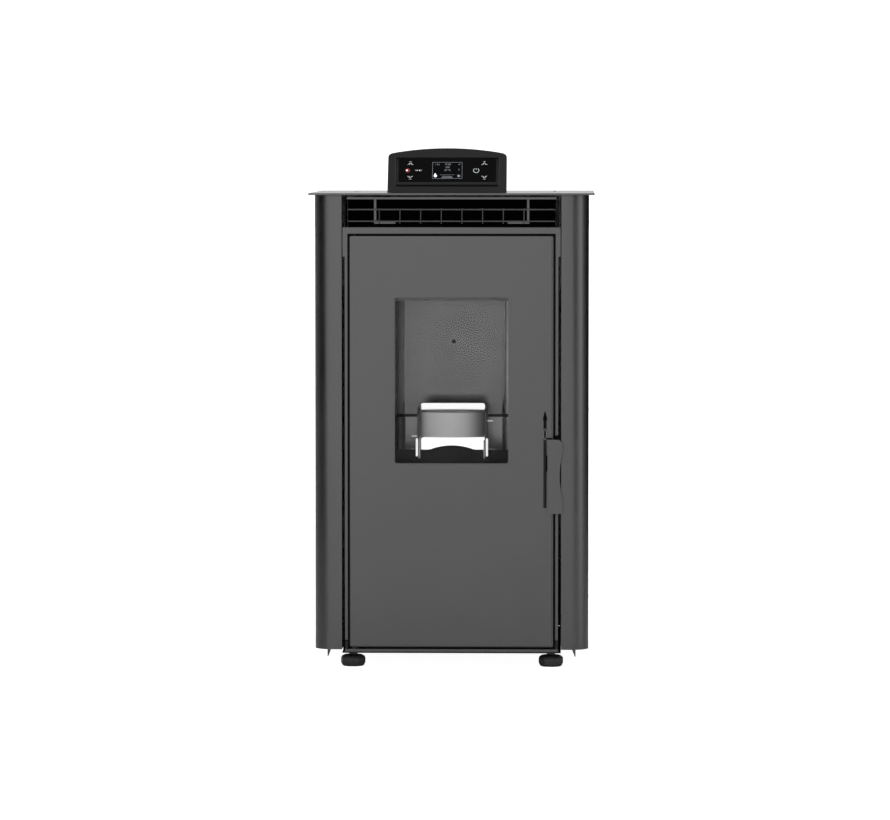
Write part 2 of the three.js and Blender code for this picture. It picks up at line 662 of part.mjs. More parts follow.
// ---------------------------------------------------------------- feet
const FOOT_X = CASE_HALF - FOOT_INSET_X;
const FOOT_PLACES = [
  ["foot_front_left", -FOOT_X, FOOT_INSET_Y],
  ["foot_front_right", FOOT_X, FOOT_INSET_Y],
  ["foot_rear_left", -FOOT_X, CASE_DEPTH - FOOT_INSET_Y + 10],
  ["foot_rear_right", FOOT_X, CASE_DEPTH - FOOT_INSET_Y + 10],
];

// A faceted pad, a hexagon to turn it by and the threaded stud.
function foot() {
  const profile = [
    [0, 0],
    [PAD_RADIUS - 3.5, 0],
    [PAD_RADIUS - 2, 1.5],
    [PAD_RADIUS, 6],
    [PAD_RADIUS, PAD_HEIGHT - 5],
    [PAD_RADIUS - 1.5, PAD_HEIGHT - 2],
    [PAD_RADIUS - 5, PAD_HEIGHT],
    [0, PAD_HEIGHT],
  ].map(([x, y]) => new THREE.Vector2(x, y));
  const pad = toSolid(new THREE.LatheGeometry(profile, PAD_SIDES).rotateX(Math.PI / 2));
  const nut = bar("z", [0, 0], 7.8, [PAD_HEIGHT - 1, TRAY_BOTTOM - GAP], 6);
  const stud = bar("z", [0, 0], STUD_RADIUS, [PAD_HEIGHT, PAD_HEIGHT + STUD_LENGTH], 16);
  return join(pad, nut, stud);
}

// ---------------------------------------------------------------- door
function doorPanel() {
  const half = DOOR_HALF;
  const sheet = new THREE.ExtrudeGeometry(
    roundedBox(spread(half - DOOR_EDGE), [DOOR_BOTTOM + DOOR_EDGE, DOOR_TOP - DOOR_EDGE], 1),
    { depth: PLATE, bevelEnabled: true, bevelSize: DOOR_EDGE, bevelThickness: DOOR_EDGE, bevelSegments: 2 },
  ).applyMatrix4(STAND_UP).translate(0, PLATE + DOOR_EDGE, 0);
  const pan = block(spread(half + 5), [PLATE, DOOR_RETURN], [DOOR_BOTTOM - 5, DOOR_TOP + 5]);
  const front = cut(toSolid(sheet), pan);
  const rim = cut(
    block(spread(half), [DOOR_EDGE, DOOR_RETURN], [DOOR_BOTTOM, DOOR_TOP]),
    block(spread(half - PLATE), [0, DOOR_RETURN + 1], [DOOR_BOTTOM + PLATE, DOOR_TOP - PLATE]),
  );
  const windowHole = plateY(
    roundedBox(spread(WINDOW_WIDTH / 2), [WINDOW_BOTTOM, WINDOW_TOP], WINDOW_CORNER),
    [-1, DOOR_RETURN],
  );
  const slot = plateY(polygon([
    [HANDLE_X - SLOT_WIDTH / 2, SLOT_BOTTOM],
    [HANDLE_X + SLOT_WIDTH / 2, SLOT_BOTTOM],
    [HANDLE_X + SLOT_WIDTH / 2, SLOT_TOP - SLOT_TIP],
    [HANDLE_X, SLOT_TOP],
    [HANDLE_X - SLOT_WIDTH / 2, SLOT_TOP - SLOT_TIP],
  ]), [-1, DOOR_RETURN]);
  const bearing = cut(
    block(
      spread(SLOT_WIDTH / 2 + 1).map((x) => x + HANDLE_X),
      [0.8, PLATE + 3],
      [HANDLE_ROD_TOP - HANDLE_BEARING_HEIGHT, HANDLE_ROD_TOP],
    ),
    bar("z", [HANDLE_X, 0], HANDLE_ROD_RADIUS + GAP, [SLOT_BOTTOM, SLOT_TOP]),
  );
  const latch = [LATCH_LEVEL - LATCH_HEIGHT / 2 - 4, LATCH_LEVEL + LATCH_HEIGHT / 2 + 4];
  const armRoom = block([HANDLE_X - SLOT_WIDTH / 2, HANDLE_X + 8.5], [-1, DOOR_RETURN], latch);
  const rimNotch = block([half - PLATE - 1, half + 1], [PLATE, DOOR_RETURN + 1], latch);
  const pinHoles = bar("z", [HINGE_X, HINGE_INSET], HINGE_PIN_RADIUS + GAP, [DOOR_BOTTOM - 1, DOOR_TOP + 1]);
  return join(cut(join(front, rim), windowHole, slot, armRoom, rimNotch, pinHoles), bearing);
}

function doorInnerFrame() {
  const half = WINDOW_WIDTH / 2;
  const outer = half + INNER_FRAME_REVEAL + INNER_FRAME_BORDER;
  const ring = block(
    spread(outer),
    [INNER_FRAME_FRONT, INNER_FRAME_BACK],
    [WINDOW_BOTTOM - INNER_FRAME_REVEAL - INNER_FRAME_BORDER, WINDOW_TOP + INNER_FRAME_REVEAL + INNER_FRAME_BORDER],
  );
  const opening = plateY(
    roundedBox(
      spread(half + INNER_FRAME_REVEAL),
      [WINDOW_BOTTOM - INNER_FRAME_REVEAL, WINDOW_TOP + INNER_FRAME_REVEAL],
      WINDOW_CORNER,
    ),
    [0, INNER_FRAME_BACK + 1],
  );
  const rebate = block(
    spread(half + GLASS_OVERLAP + GAP),
    [0, INNER_FRAME_FRONT + GLASS_THICKNESS + GAP],
    [WINDOW_BOTTOM - GLASS_OVERLAP - GAP, WINDOW_TOP + GLASS_OVERLAP + GAP],
  );
  return cut(ring, opening, rebate);
}

function doorGlass() {
  return block(
    spread(WINDOW_WIDTH / 2 + GLASS_OVERLAP),
    [INNER_FRAME_FRONT, INNER_FRAME_FRONT + GLASS_THICKNESS],
    [WINDOW_BOTTOM - GLASS_OVERLAP, WINDOW_TOP + GLASS_OVERLAP],
  );
}

function doorGasket() {
  const inner = WINDOW_WIDTH / 2 + INNER_FRAME_REVEAL + GASKET_MARGIN;
  const low = WINDOW_BOTTOM - INNER_FRAME_REVEAL - GASKET_MARGIN;
  const high = WINDOW_TOP + INNER_FRAME_REVEAL + GASKET_MARGIN;
  const depth = [INNER_FRAME_BACK + GAP, INNER_FRAME_BACK + GAP + GASKET_DEPTH];
  return cut(
    plateY(roundedBox(spread(inner + GASKET_WIDTH), [low - GASKET_WIDTH, high + GASKET_WIDTH], 14), depth),
    plateY(roundedBox(spread(inner), [low, high], 5), [depth[0] - 1, depth[1] + 1]),
  );
}

function hingePinUpper() {
  const flangeTop = SILL_BOTTOM + TRAY_SHEET;
  return join(
    bar("z", [HINGE_X, HINGE_INSET], HINGE_PIN_RADIUS, [DOOR_TOP - HINGE_PIN_REACH, flangeTop + 1]),
    bar("z", [HINGE_X, HINGE_INSET], HINGE_PIN_RADIUS + 0.7, [flangeTop + GAP, flangeTop + PLATE]),
  );
}

function hingePinLower() {
  return join(
    bar("z", [HINGE_X, HINGE_INSET], HINGE_PIN_RADIUS, [TRAY_TOP + GAP, DOOR_BOTTOM + HINGE_PIN_REACH]),
    bar("z", [HINGE_X, HINGE_INSET], HINGE_COLLAR_RADIUS, [KICK_TOP + GAP, DOOR_BOTTOM - GAP]),
  );
}

// ---------------------------------------------------------------- handle and latch
function doorHandle() {
  const left = HANDLE_X + HANDLE_OFFSET;
  const right = left + HANDLE_WIDTH;
  const top = HANDLE_BOTTOM + HANDLE_HEIGHT;
  const scoop = crownPoints(SCOOP_LENGTH / 2, 0, SCOOP_DEPTH, 8)
    .map(([along, depth]) => [right - depth, SCOOP_LOW + SCOOP_LENGTH / 2 - along]);
  const outline = [
    [left, HANDLE_BOTTOM],
    [right - 2, HANDLE_BOTTOM],
    [right, HANDLE_BOTTOM + 2],
    ...scoop,
    ...arcPoints([right - HANDLE_CORNER, top - HANDLE_CORNER], HANDLE_CORNER, 0, Math.PI / 2, 4),
    [left, top],
  ];
  const plate = plateY(polygon(outline), [-HANDLE_STANDOFF - HANDLE_THICKNESS, -HANDLE_STANDOFF]);
  const lugs = [SLOT_BOTTOM + 2, top - 8].map((z) => block(
    [HANDLE_X + HANDLE_ROD_RADIUS + GAP, left + 6],
    [-HANDLE_STANDOFF - 0.2, -GAP],
    [z, z + 6],
  ));
  return join(plate, ...lugs);
}

// The upright rod in the door's slot carries the arm that reaches behind the keeper.
function latchHook() {
  const level = [LATCH_LEVEL - LATCH_HEIGHT / 2, LATCH_LEVEL + LATCH_HEIGHT / 2];
  const rod = bar("z", [HANDLE_X, 0], HANDLE_ROD_RADIUS, [SLOT_BOTTOM + GAP, HANDLE_ROD_TOP - GAP], 16);
  const arm = block(spread(LATCH_ARM / 2).map((x) => x + HANDLE_X), [0.5, LATCH_REACH], level);
  const toe = block(
    [HANDLE_X - LATCH_FOOT, HANDLE_X + LATCH_ARM / 2],
    [LATCH_REACH - LATCH_ARM, LATCH_REACH],
    level,
  );
  return join(rod, arm, toe);
}

// A lip in front of the hook's toe, just short of it.
function latchKeeper() {
  const tip = HANDLE_X - LATCH_FOOT - PLAY;
  const level = [LATCH_LEVEL - LATCH_HEIGHT / 2 - 2, LATCH_LEVEL + LATCH_HEIGHT / 2 + 2];
  const base = FIREBOX_FRONT - GAP;
  const lipFront = LATCH_REACH - 2 * LATCH_ARM - PLAY;
  return join(
    block([tip - KEEPER_LIP - 11, tip], [base - PLATE, base], [level[0] - 6, level[1] + 6]),
    block([tip - KEEPER_LIP - PLATE, tip - KEEPER_LIP], [lipFront, base - 0.5], level),
    block([tip - KEEPER_LIP - PLATE, tip], [lipFront, lipFront + PLATE], level),
  );
}

// ---------------------------------------------------------------- firebox
// A tub outline in X and Y: open at the front, with rounded corners at the back.
function tubOutline(half, front, rear, radius) {
  return [
    [half, front],
    ...arcPoints([half - radius, rear - radius], radius, 0, Math.PI / 2, 6),
    ...arcPoints([radius - half, rear - radius], radius, Math.PI / 2, Math.PI, 6),
    [-half, front],
  ];
}

function firebox() {
  const body = block(spread(FIREBOX_HALF), [FIREBOX_FRONT, FIREBOX_REAR], [CELL_BOTTOM - PLATE, FIREBOX_TOP]);
  const front = block(
    spread(STRIP_OUT - SHEET - GAP),
    [FIREBOX_FRONT, FIREBOX_FLANGE_BACK],
    [TRAY_TOP + GAP, SILL_BOTTOM - 1],
  );
  const chamber = plateZ(
    polygon(tubOutline(CHAMBER_HALF, FIREBOX_FLANGE_BACK, CHAMBER_REAR, LINER_CORNER + LINER_THICKNESS)),
    [FIREBOX_FLOOR, FIREBOX_ROOF],
  );
  const mouth = block(
    spread(MOUTH_HALF),
    [FIREBOX_FRONT - 1, FIREBOX_FLANGE_BACK + 1],
    [FIREBOX_FLOOR + PLATE, WINDOW_TOP + MOUTH_TOP_ABOVE_WINDOW],
  );
  const cell = block(spread(CHAMBER_HALF), [FIREBOX_FRONT - 1, CHAMBER_REAR], [CELL_BOTTOM, CELL_TOP]);
  const ashHole = block(
    spread(ASH_HOLE_WIDTH / 2),
    [ASH_HOLE_FRONT, ASH_HOLE_FRONT + ASH_HOLE_DEPTH],
    [CELL_TOP - 1, FIREBOX_FLOOR + 1],
  );
  const smokeHole = block(
    spread(SMOKE_HOLE_WIDTH / 2),
    [SMOKE_HOLE_FRONT, SMOKE_HOLE_FRONT + SMOKE_HOLE_DEPTH],
    [FIREBOX_ROOF - 1, FIREBOX_TOP + 1],
  );
  return cut(join(body, front), chamber, mouth, cell, ashHole, smokeHole, ...rearPassages());
}

// What comes through the back of the firebox and its liners.
function rearPassages() {
  const through = [FIREBOX_DEPTH - LINER_CORNER, FIREBOX_REAR + 1];
  return [
    bar("y", [0, INTAKE_Z], INTAKE_RADIUS + GAP, through, 36),
    bar("y", [0, IGNITER_LEVEL], IGNITER_RADIUS + GAP, through),
    block(spread(SPOUT_WIDTH / 2 + GAP), through, [SPOUT_BOTTOM - GAP, SPOUT_BOTTOM + SPOUT_HEIGHT + GAP]),
  ];
}

function liner(level) {
  const front = FIREBOX_FLANGE_BACK + GAP;
  const outer = plateZ(polygon(tubOutline(LINER_OUT, front, FIREBOX_DEPTH + LINER_THICKNESS, LINER_CORNER + LINER_THICKNESS)), level);
  const inner = plateZ(
    polygon(tubOutline(MOUTH_HALF, front - 1, FIREBOX_DEPTH, LINER_CORNER)),
    [level[0] - 1, level[1] + 1],
  );
  const screwHole = bar("y", [0, FIREBACK_SCREW_LEVEL], FIREBACK_SCREW_RADIUS, [FIREBOX_DEPTH - 1, CHAMBER_REAR], 16);
  return cut(outer, inner, screwHole, ...rearPassages());
}

function ashGuard() {
  const half = MOUTH_HALF - GAP;
  const outline = polygon([
    [-half, FIREBOX_FLOOR + GAP],
    [half, FIREBOX_FLOOR + GAP],
    [half, GUARD_TOP],
    ...crownPoints(GUARD_ARCH_WIDTH / 2, GUARD_TOP, GUARD_ARCH_RISE, 10),
    [-half, GUARD_TOP],
  ]);
  const front = FIREBOX_FLANGE_BACK + GAP;
  return plateY(outline, [front, front + PLATE]);
}

// ---------------------------------------------------------------- burn pot
function potHolder() {
  const floor = FIREBOX_FLOOR + GAP;
  const base = cut(
    block(spread(HOLDER_BASE_WIDTH / 2), [CHEEK_FRONT, POT_REAR + 6], [floor, floor + 4]),
    block(spread(ASH_HOLE_WIDTH / 2), [ASH_HOLE_FRONT, ASH_HOLE_FRONT + ASH_HOLE_DEPTH], [floor - 1, floor + 5]),
  );
  const cheeks = [-1, 1].flatMap((side) => {
    const across = (a, b) => [side * a, side * b].sort((p, q) => p - q);
    const outline = polygon([
      [CHEEK_FRONT, floor + 1],
      [POT_REAR, floor + 1],
      [POT_REAR, POT_TOP - POT_RIM_DROP],
      [CHEEK_FRONT + 12, POT_TOP - POT_RIM_DROP],
      [CHEEK_FRONT + 4, BAND_BOTTOM + BAND_HEIGHT],
      [CHEEK_FRONT, BAND_BOTTOM],
    ]);
    return [
      plateX(outline, across(CHEEK_IN, CHEEK_OUT)),
      block(
        across(CHEEK_IN - CHEEK_LEDGE, CHEEK_IN + 1),
        [POT_FRONT + 4, POT_REAR - 1],
        [POT_BOTTOM - GAP - 4.5, POT_BOTTOM - GAP],
      ),
    ];
  });
  return join(base, ...cheeks);
}

function burnPot() {
  const wall = PLATE;
  const floor = POT_BOTTOM + POT_FLOOR_LIFT;
  const frontPlate = plateY(
    roundedBox(spread(POT_HALF), [POT_BOTTOM, POT_TOP], POT_CORNER),
    [POT_FRONT, POT_FRONT + wall],
  );
  const tub = block(spread(POT_HALF), [POT_FRONT + 1, POT_REAR], [POT_BOTTOM + POT_CORNER, POT_TOP - POT_RIM_DROP]);
  const cavity = block(spread(POT_HALF - wall), [POT_FRONT + wall, POT_REAR - wall], [floor + wall, POT_TOP + 1]);
  const underside = block(spread(POT_HALF - wall), [POT_FRONT + wall, POT_REAR + 1], [POT_BOTTOM - 1, floor]);
  const feet = [-1, 1].map((side) => block(
    [side * (POT_HALF - wall), side * POT_HALF].sort((a, b) => a - b),
    [POT_FRONT + 1, POT_REAR],
    [POT_BOTTOM, POT_BOTTOM + POT_CORNER + 1],
  ));
  const holePitch = (POT_WIDTH - 4 * wall) / POT_HOLE_COLUMNS;
  const rowPitch = (POT_REAR - POT_FRONT - 2 * wall) / POT_HOLE_ROWS;
  const holes = range(POT_HOLE_COLUMNS).flatMap((column) => range(POT_HOLE_ROWS).map((row) => bar(
    "z",
    [(column - (POT_HOLE_COLUMNS - 1) / 2) * holePitch, POT_FRONT + wall + (row + 0.5) * rowPitch],
    POT_HOLE_RADIUS,
    [floor - 1, floor + wall + 1],
    6,
  )));
  const igniterHole = bar("y", [0, IGNITER_LEVEL], IGNITER_RADIUS + PLAY, [POT_REAR - wall - 1, POT_REAR + 1], 16);
  return cut(join(frontPlate, tub, ...feet), cavity, underside, igniterHole, ...holes);
}

// A bowed band across the front of the pot, between the cheeks.
function potBand() {
  const half = POT_HALF;
  const outer = crownPoints(half, -BAND_ENDS, BAND_BULGE, 14);
  const inner = crownPoints(half - 0.6, -BAND_ENDS - PLATE, BAND_BULGE, 14).reverse();
  const outline = [...outer, ...inner].map(([x, y]) => [x, -y]);
  return plateZ(polygon(outline), [BAND_BOTTOM, BAND_BOTTOM + BAND_HEIGHT]);
}

function igniter() {
  const start = POT_REAR + PLAY;
  return join(
    bar("y", [0, IGNITER_LEVEL], IGNITER_RADIUS, [start, start + IGNITER_LENGTH], 16),
    bar("y", [0, IGNITER_LEVEL], 2 * IGNITER_RADIUS, [FIREBOX_REAR + GAP, FIREBOX_REAR + IGNITER_RADIUS], 16),
  );
}

// ---------------------------------------------------------------- ash drawer
function ashDrawer() {
  const bottom = CELL_BOTTOM + GAP;
  const front = FIREBOX_FRONT - GAP - DRAWER_FRONT_THICKNESS;
  const tray = cut(
    block(spread(CHAMBER_HALF - PLAY), [FIREBOX_FRONT - PLAY, FIREBOX_FRONT + DRAWER_DEPTH], [bottom, bottom + DRAWER_HEIGHT]),
    block(
      spread(CHAMBER_HALF - PLAY - SHEET),
      [FIREBOX_FRONT + 2, FIREBOX_FRONT + DRAWER_DEPTH - SHEET],
      [bottom + SHEET, bottom + DRAWER_HEIGHT + 1],
    ),
  );
  const face = block(
    spread(CHAMBER_HALF + 8),
    [front, front + DRAWER_FRONT_THICKNESS],
    [CELL_BOTTOM - 6, CELL_TOP - 3],
  );
  const pullLevel = bottom + DRAWER_HEIGHT / 2;
  const pull = [
    block(
      spread(DRAWER_PULL_WIDTH / 2),
      [front - DRAWER_PULL_DEPTH, front - DRAWER_PULL_DEPTH + 2.5],
      [pullLevel - 6, pullLevel + 6],
    ),
    ...[-1, 1].map((side) => block(
      spread(2).map((x) => x + side * (DRAWER_PULL_WIDTH / 2 - 2)),
      [front - DRAWER_PULL_DEPTH + 2, front + 1],
      [pullLevel - 6, pullLevel + 6],
    )),
  ];
  return join(tray, face, ...pull);
}

// ---------------------------------------------------------------- heat exchanger and ducts
function heatExchanger() {
  const wall = EXCHANGER_WALL;
  const depth = [EXCHANGER_FRONT, EXCHANGER_REAR];
  const shell = cut(
    block(spread(FIREBOX_HALF), depth, [EXCHANGER_BOTTOM, EXCHANGER_TOP]),
    block(
      spread(FIREBOX_HALF - wall),
      [depth[0] + wall, depth[1] - wall],
      [EXCHANGER_BOTTOM + wall, EXCHANGER_TOP - wall],
    ),
    block(
      spread(SMOKE_HOLE_WIDTH / 2),
      [SMOKE_HOLE_FRONT, SMOKE_HOLE_FRONT + SMOKE_HOLE_DEPTH],
      [EXCHANGER_BOTTOM - 1, EXCHANGER_BOTTOM + wall + 1],
    ),
    block(
      [FIREBOX_HALF - wall - 1, FIREBOX_HALF + 1],
      [SMOKE_DUCT_FRONT + DUCT_WALL, EXCHANGER_REAR - wall],
      [DUCT_BOTTOM + wall, DUCT_TOP - wall],
    ),
  );
  const tubeX = range(TUBE_COUNT).map((index) => (index - (TUBE_COUNT - 1) / 2) * TUBE_PITCH);
  const tubes = tubeX.map((x) => bar("y", [x, TUBE_LEVEL], TUBE_RADIUS, depth, 20));
  const bores = tubeX.map((x) => bar("y", [x, TUBE_LEVEL], TUBE_RADIUS - TUBE_WALL, [depth[0] - 1, depth[1] + 1], 20));
  return cut(join(shell, ...tubes), ...bores);
}

// From the front ends of the exchanger tubes up to the outlet behind the grille.
function airDuct() {
  const wall = DUCT_WALL;
  const half = STRIP_IN - GAP;
  const front = RAIL_Y + 3;
  const rear = front + PLENUM_DEPTH;
  const step = EXCHANGER_FRONT - GAP;
  const lowFront = FIREBOX_FLANGE_BACK + 1;
  const floor = SILL_TOP + 0.5;
  const bottom = EXCHANGER_TOP + 2;
  const roof = OUTLET_TOP + 1;
  const outline = (inset) => polygon([
    [front - inset, roof - inset],
    [rear - inset, roof - inset],
    [rear - inset, bottom + inset],
    [step - inset, bottom + inset],
    [step - inset, DUCT_BOTTOM + inset],
    [lowFront + inset, DUCT_BOTTOM + inset],
    [lowFront + inset, floor + inset],
    [front - inset, floor + inset],
  ]);
  const tubeMouths = block(
    spread(FIREBOX_HALF - EXCHANGER_WALL),
    [step - wall - 1, step + 1],
    [TUBE_LEVEL - TUBE_RADIUS, TUBE_LEVEL + TUBE_RADIUS],
  );
  return cut(plateX(outline(0), spread(half)), plateX(outline(wall), spread(half - wall)), tubeMouths);
}

// From the room fan up beside the firebox and across the back of the exchanger.
function airRiser() {
  const wall = DUCT_WALL;
  const outX = -(RISER_IN + RISER_WIDTH);
  const inX = -RISER_IN;
  const headerEnd = FIREBOX_HALF - 2;
  const headerFront = EXCHANGER_REAR + GAP;
  const upright = (inset, floor) => block(
    [outX + inset, inX - inset],
    [RISER_FRONT + inset, RISER_BACK - inset],
    [floor, DUCT_TOP - inset],
  );
  const header = (inset) => block(
    [inX - 2 * wall, headerEnd - inset],
    [headerFront + inset, RISER_BACK - inset],
    [DUCT_BOTTOM + inset, DUCT_TOP - inset],
  );
  const tubeMouths = block(
    [EXCHANGER_WALL - FIREBOX_HALF, headerEnd - wall],
    [headerFront - 1, headerFront + wall + 1],
    [TUBE_LEVEL - TUBE_RADIUS, TUBE_LEVEL + TUBE_RADIUS],
  );
  return cut(
    join(upright(0, ROOM_FAN_TOP + GAP), header(0)),
    upright(wall, ROOM_FAN_TOP - 1),
    header(wall),
    tubeMouths,
  );
}

// From the side of the exchanger down beside the firebox to the inlet of the smoke fan.
function smokeDuct() {
  const wall = DUCT_WALL;
  const end = SMOKE_FAN_FRONT - GAP;
  const low = [SMOKE_FAN_Z - SMOKE_INLET_RADIUS - 3, SMOKE_FAN_Z + SMOKE_INLET_RADIUS + 3];
  const left = SMOKE_FAN_X - SMOKE_INLET_RADIUS - 3;
  const pieces = (inset) => [
    block([SMOKE_DUCT_IN + inset, SMOKE_DUCT_OUT - inset], [SMOKE_DUCT_FRONT + inset, EXCHANGER_REAR - inset], [low[0] + inset, DUCT_TOP - inset]),
    block([FIREBOX_HALF + GAP - (inset && 1), SMOKE_DUCT_IN + 5], [SMOKE_DUCT_FRONT + inset, EXCHANGER_REAR - inset], [DUCT_BOTTOM + inset, DUCT_TOP - inset]),
    block([left + inset, SMOKE_DUCT_OUT - inset], [SMOKE_DUCT_FRONT + inset, end - inset], [low[0] + inset, low[1] - inset]),
  ];
  const inlet = bar("y", [SMOKE_FAN_X, SMOKE_FAN_Z], SMOKE_INLET_RADIUS, [end - wall - 1, end + 1]);
  return cut(join(...pieces(0)), ...pieces(wall), inlet);
}

// ---------------------------------------------------------------- fans
// A round wheel: a back disc, straight blades, a front ring and the shaft that drives it.
function fanWheel(radius, inletRadius, width) {
  const disc = bar("y", [0, 0], radius, [width - 3, width], 24);
  const hub = bar("y", [0, 0], HUB_RADIUS, [width - 16, width - 1], 12);
  const shaft = bar("y", [0, 0], SHAFT_RADIUS, [width - 20, width + WHEEL_SHAFT], 12);
  const ring = cut(bar("y", [0, 0], radius, [0, 2.5], 24), bar("y", [0, 0], inletRadius, [-1, 3.5], 24));
  const blades = range(BLADE_COUNT).map((index) => {
    const blade = new THREE.BoxGeometry(radius - inletRadius + 6, width - 1, BLADE_THICKNESS);
    blade.translate((radius + inletRadius - 6) / 2 - 1, (width - 1) / 2, 0);
    return toSolid(blade.rotateY((index * 2 * Math.PI) / BLADE_COUNT));
  });
  return join(disc, hub, shaft, ring, ...blades);
}

function fanMotor() {
  const boss = bar("y", [0, 0], MOTOR_RADIUS * 0.6, [MOTOR_LENGTH - 1, MOTOR_LENGTH + 6], 20);
  const body = bar("y", [0, 0], MOTOR_RADIUS, [0, MOTOR_LENGTH], 28);
  const bore = bar("y", [0, 0], SHAFT_RADIUS + GAP, [-1, 18], 16);
  return cut(join(body, boss), bore);
}

function smokeFanHousing() {
  const wall = FAN_WALL;
  const centre = [SMOKE_FAN_X, SMOKE_FAN_Z];
  const box = (inset) => block(
    [SMOKE_FAN_X + inset, FLUE_X + FLUE_RADIUS + 2 * wall - inset],
    [SMOKE_FAN_FRONT + inset, SMOKE_FAN_BACK - inset],
    [SMOKE_FAN_Z - SMOKE_FAN_RADIUS - 10 + inset, FLUE_Z + FLUE_RADIUS + 2 * wall - inset],
  );
  const outer = join(
    bar("y", centre, SMOKE_FAN_RADIUS, [SMOKE_FAN_FRONT, SMOKE_FAN_BACK], 36),
    box(0),
    bar("y", [FLUE_X, FLUE_Z], FLUE_RADIUS, [SMOKE_FAN_BACK - 1, FLUE_END], 48),
  );
  return cut(
    outer,
    bar("y", centre, SMOKE_FAN_RADIUS - wall, [SMOKE_FAN_FRONT + wall, SMOKE_FAN_BACK - wall], 36),
    box(wall),
    bar("y", [FLUE_X, FLUE_Z], FLUE_RADIUS - FLUE_WALL, [SMOKE_FAN_BACK - 2 * wall, FLUE_END + 1], 48),
    bar("y", centre, SMOKE_INLET_RADIUS, [SMOKE_FAN_FRONT - 1, SMOKE_FAN_FRONT + wall + 1], 32),
    bar("y", centre, SHAFT_RADIUS + GAP, [SMOKE_FAN_BACK - wall - 1, SMOKE_FAN_BACK + 1], 16),
  );
}

function roomFanHousing() {
  const wall = FAN_WALL;
  const centre = [ROOM_FAN_X, ROOM_FAN_Z];
  const neck = (inset) => block(
    [-(RISER_IN + RISER_WIDTH) + inset, -RISER_IN - inset],
    [RISER_FRONT + inset, RISER_BACK - inset],
    [ROOM_FAN_Z, ROOM_FAN_TOP + (inset && 1)],
  );
  const stand = block(
    [ROOM_FAN_X - 30, ROOM_FAN_X + 30],
    [RISER_FRONT, RISER_FRONT + FAN_WALL],
    [TRAY_TOP + GAP, ROOM_FAN_Z - ROOM_FAN_RADIUS + 12],
  );
  return cut(
    join(bar("y", centre, ROOM_FAN_RADIUS, [RISER_FRONT, RISER_BACK], 36), neck(0), stand),
    bar("y", centre, ROOM_FAN_RADIUS - wall, [RISER_FRONT + wall, RISER_BACK - wall], 36),
    neck(wall),
    bar("y", centre, ROOM_INLET_RADIUS, [RISER_FRONT - 1, RISER_FRONT + wall + 1], 32),
    bar("y", centre, SHAFT_RADIUS + GAP, [RISER_BACK - wall - 1, RISER_BACK + 1], 16),
  );
}

function airIntake() {
  const span = [FIREBOX_REAR - PLATE, CASE_DEPTH + INTAKE_PROUD];
  return cut(
    bar("y", [0, INTAKE_Z], INTAKE_RADIUS, span, 36),
    bar("y", [0, INTAKE_Z], INTAKE_RADIUS - INTAKE_WALL, [span[0] - 1, span[1] + 1], 36),
  );
}

// ---------------------------------------------------------------- hopper and auger
// A point on the auger's side view: s along the tube from its top end, n square to it, upward.
function augerPoint(s, n) {
  return [
    AUGER_TOP_Y + s * Math.cos(AUGER_TILT) + n * Math.sin(AUGER_TILT),
    AUGER_TOP_Z - s * Math.sin(AUGER_TILT) + n * Math.cos(AUGER_TILT),
  ];
}

// A solid made along Y from the auger's top end is laid along the auger.
const AUGER_FRAME = new THREE.Matrix4()
  .makeTranslation(0, AUGER_TOP_Y, AUGER_TOP_Z)
  .multiply(new THREE.Matrix4().makeRotationX(-AUGER_TILT));

function augerBar(radius, [from, to], sides) {
  const geometry = new THREE.CylinderGeometry(radius, radius, to - from, sides);
  return toSolid(geometry.translate(0, (from + to) / 2, 0).applyMatrix4(AUGER_FRAME));
}

function augerBlock([x0, x1], [s0, s1], [n0, n1]) {
  const geometry = new THREE.BoxGeometry(x1 - x0, s1 - s0, n1 - n0);
  geometry.translate((x0 + x1) / 2, (s0 + s1) / 2, (n0 + n1) / 2);
  return toSolid(geometry.applyMatrix4(AUGER_FRAME));
}

function hopper() {
  const sideOutline = (inset, top) => {
    const front = HOPPER_FRONT + inset;
    const floorDrop = AUGER_FLOOR - inset;
    const reach = (front - AUGER_TOP_Y + floorDrop * Math.sin(AUGER_TILT)) / Math.cos(AUGER_TILT);
    return polygon([
      [front, top],
      augerPoint(reach, -floorDrop),
      augerPoint(AUGER_END - inset, -floorDrop),
      augerPoint(AUGER_END - inset, AUGER_TUBE_RADIUS + PLATE),
      [HOPPER_REAR - inset, HOPPER_REAR_SLOPE_TOP],
      [HOPPER_REAR - inset, top],
    ]);
  };
  const floorLevel = augerPoint(AUGER_END, -AUGER_FLOOR)[1];
  const frontOutline = (inset, top) => {
    const half = HOPPER_HALF - inset;
    const trough = HOPPER_TROUGH_WIDTH / 2 - inset;
    return polygon([
      [-half, top],
      [-half, HOPPER_FUNNEL_TOP],
      [-trough, floorLevel + AUGER_TUBE_RADIUS / 2],
      [-trough, floorLevel - 1],
      [trough, floorLevel - 1],
      [trough, floorLevel + AUGER_TUBE_RADIUS / 2],
      [half, HOPPER_FUNNEL_TOP],
      [half, top],
    ]);
  };
  const bulk = (inset, top) => plateX(sideOutline(inset, top), spread(HOPPER_HALF))
    .intersect(plateY(frontOutline(inset, top), [HOPPER_FRONT - 1, HOPPER_REAR + 1]));
  return cut(
    bulk(0, HOPPER_TOP),
    bulk(HOPPER_WALL, HOPPER_TOP + 5),
    augerBar(AUGER_TUBE_RADIUS + GAP, [0, AUGER_LENGTH / 2], 40),
    augerBar(AUGER_SHAFT_RADIUS + GAP, [AUGER_END - 2 * HOPPER_WALL, AUGER_END + 2], 16),
  );
}

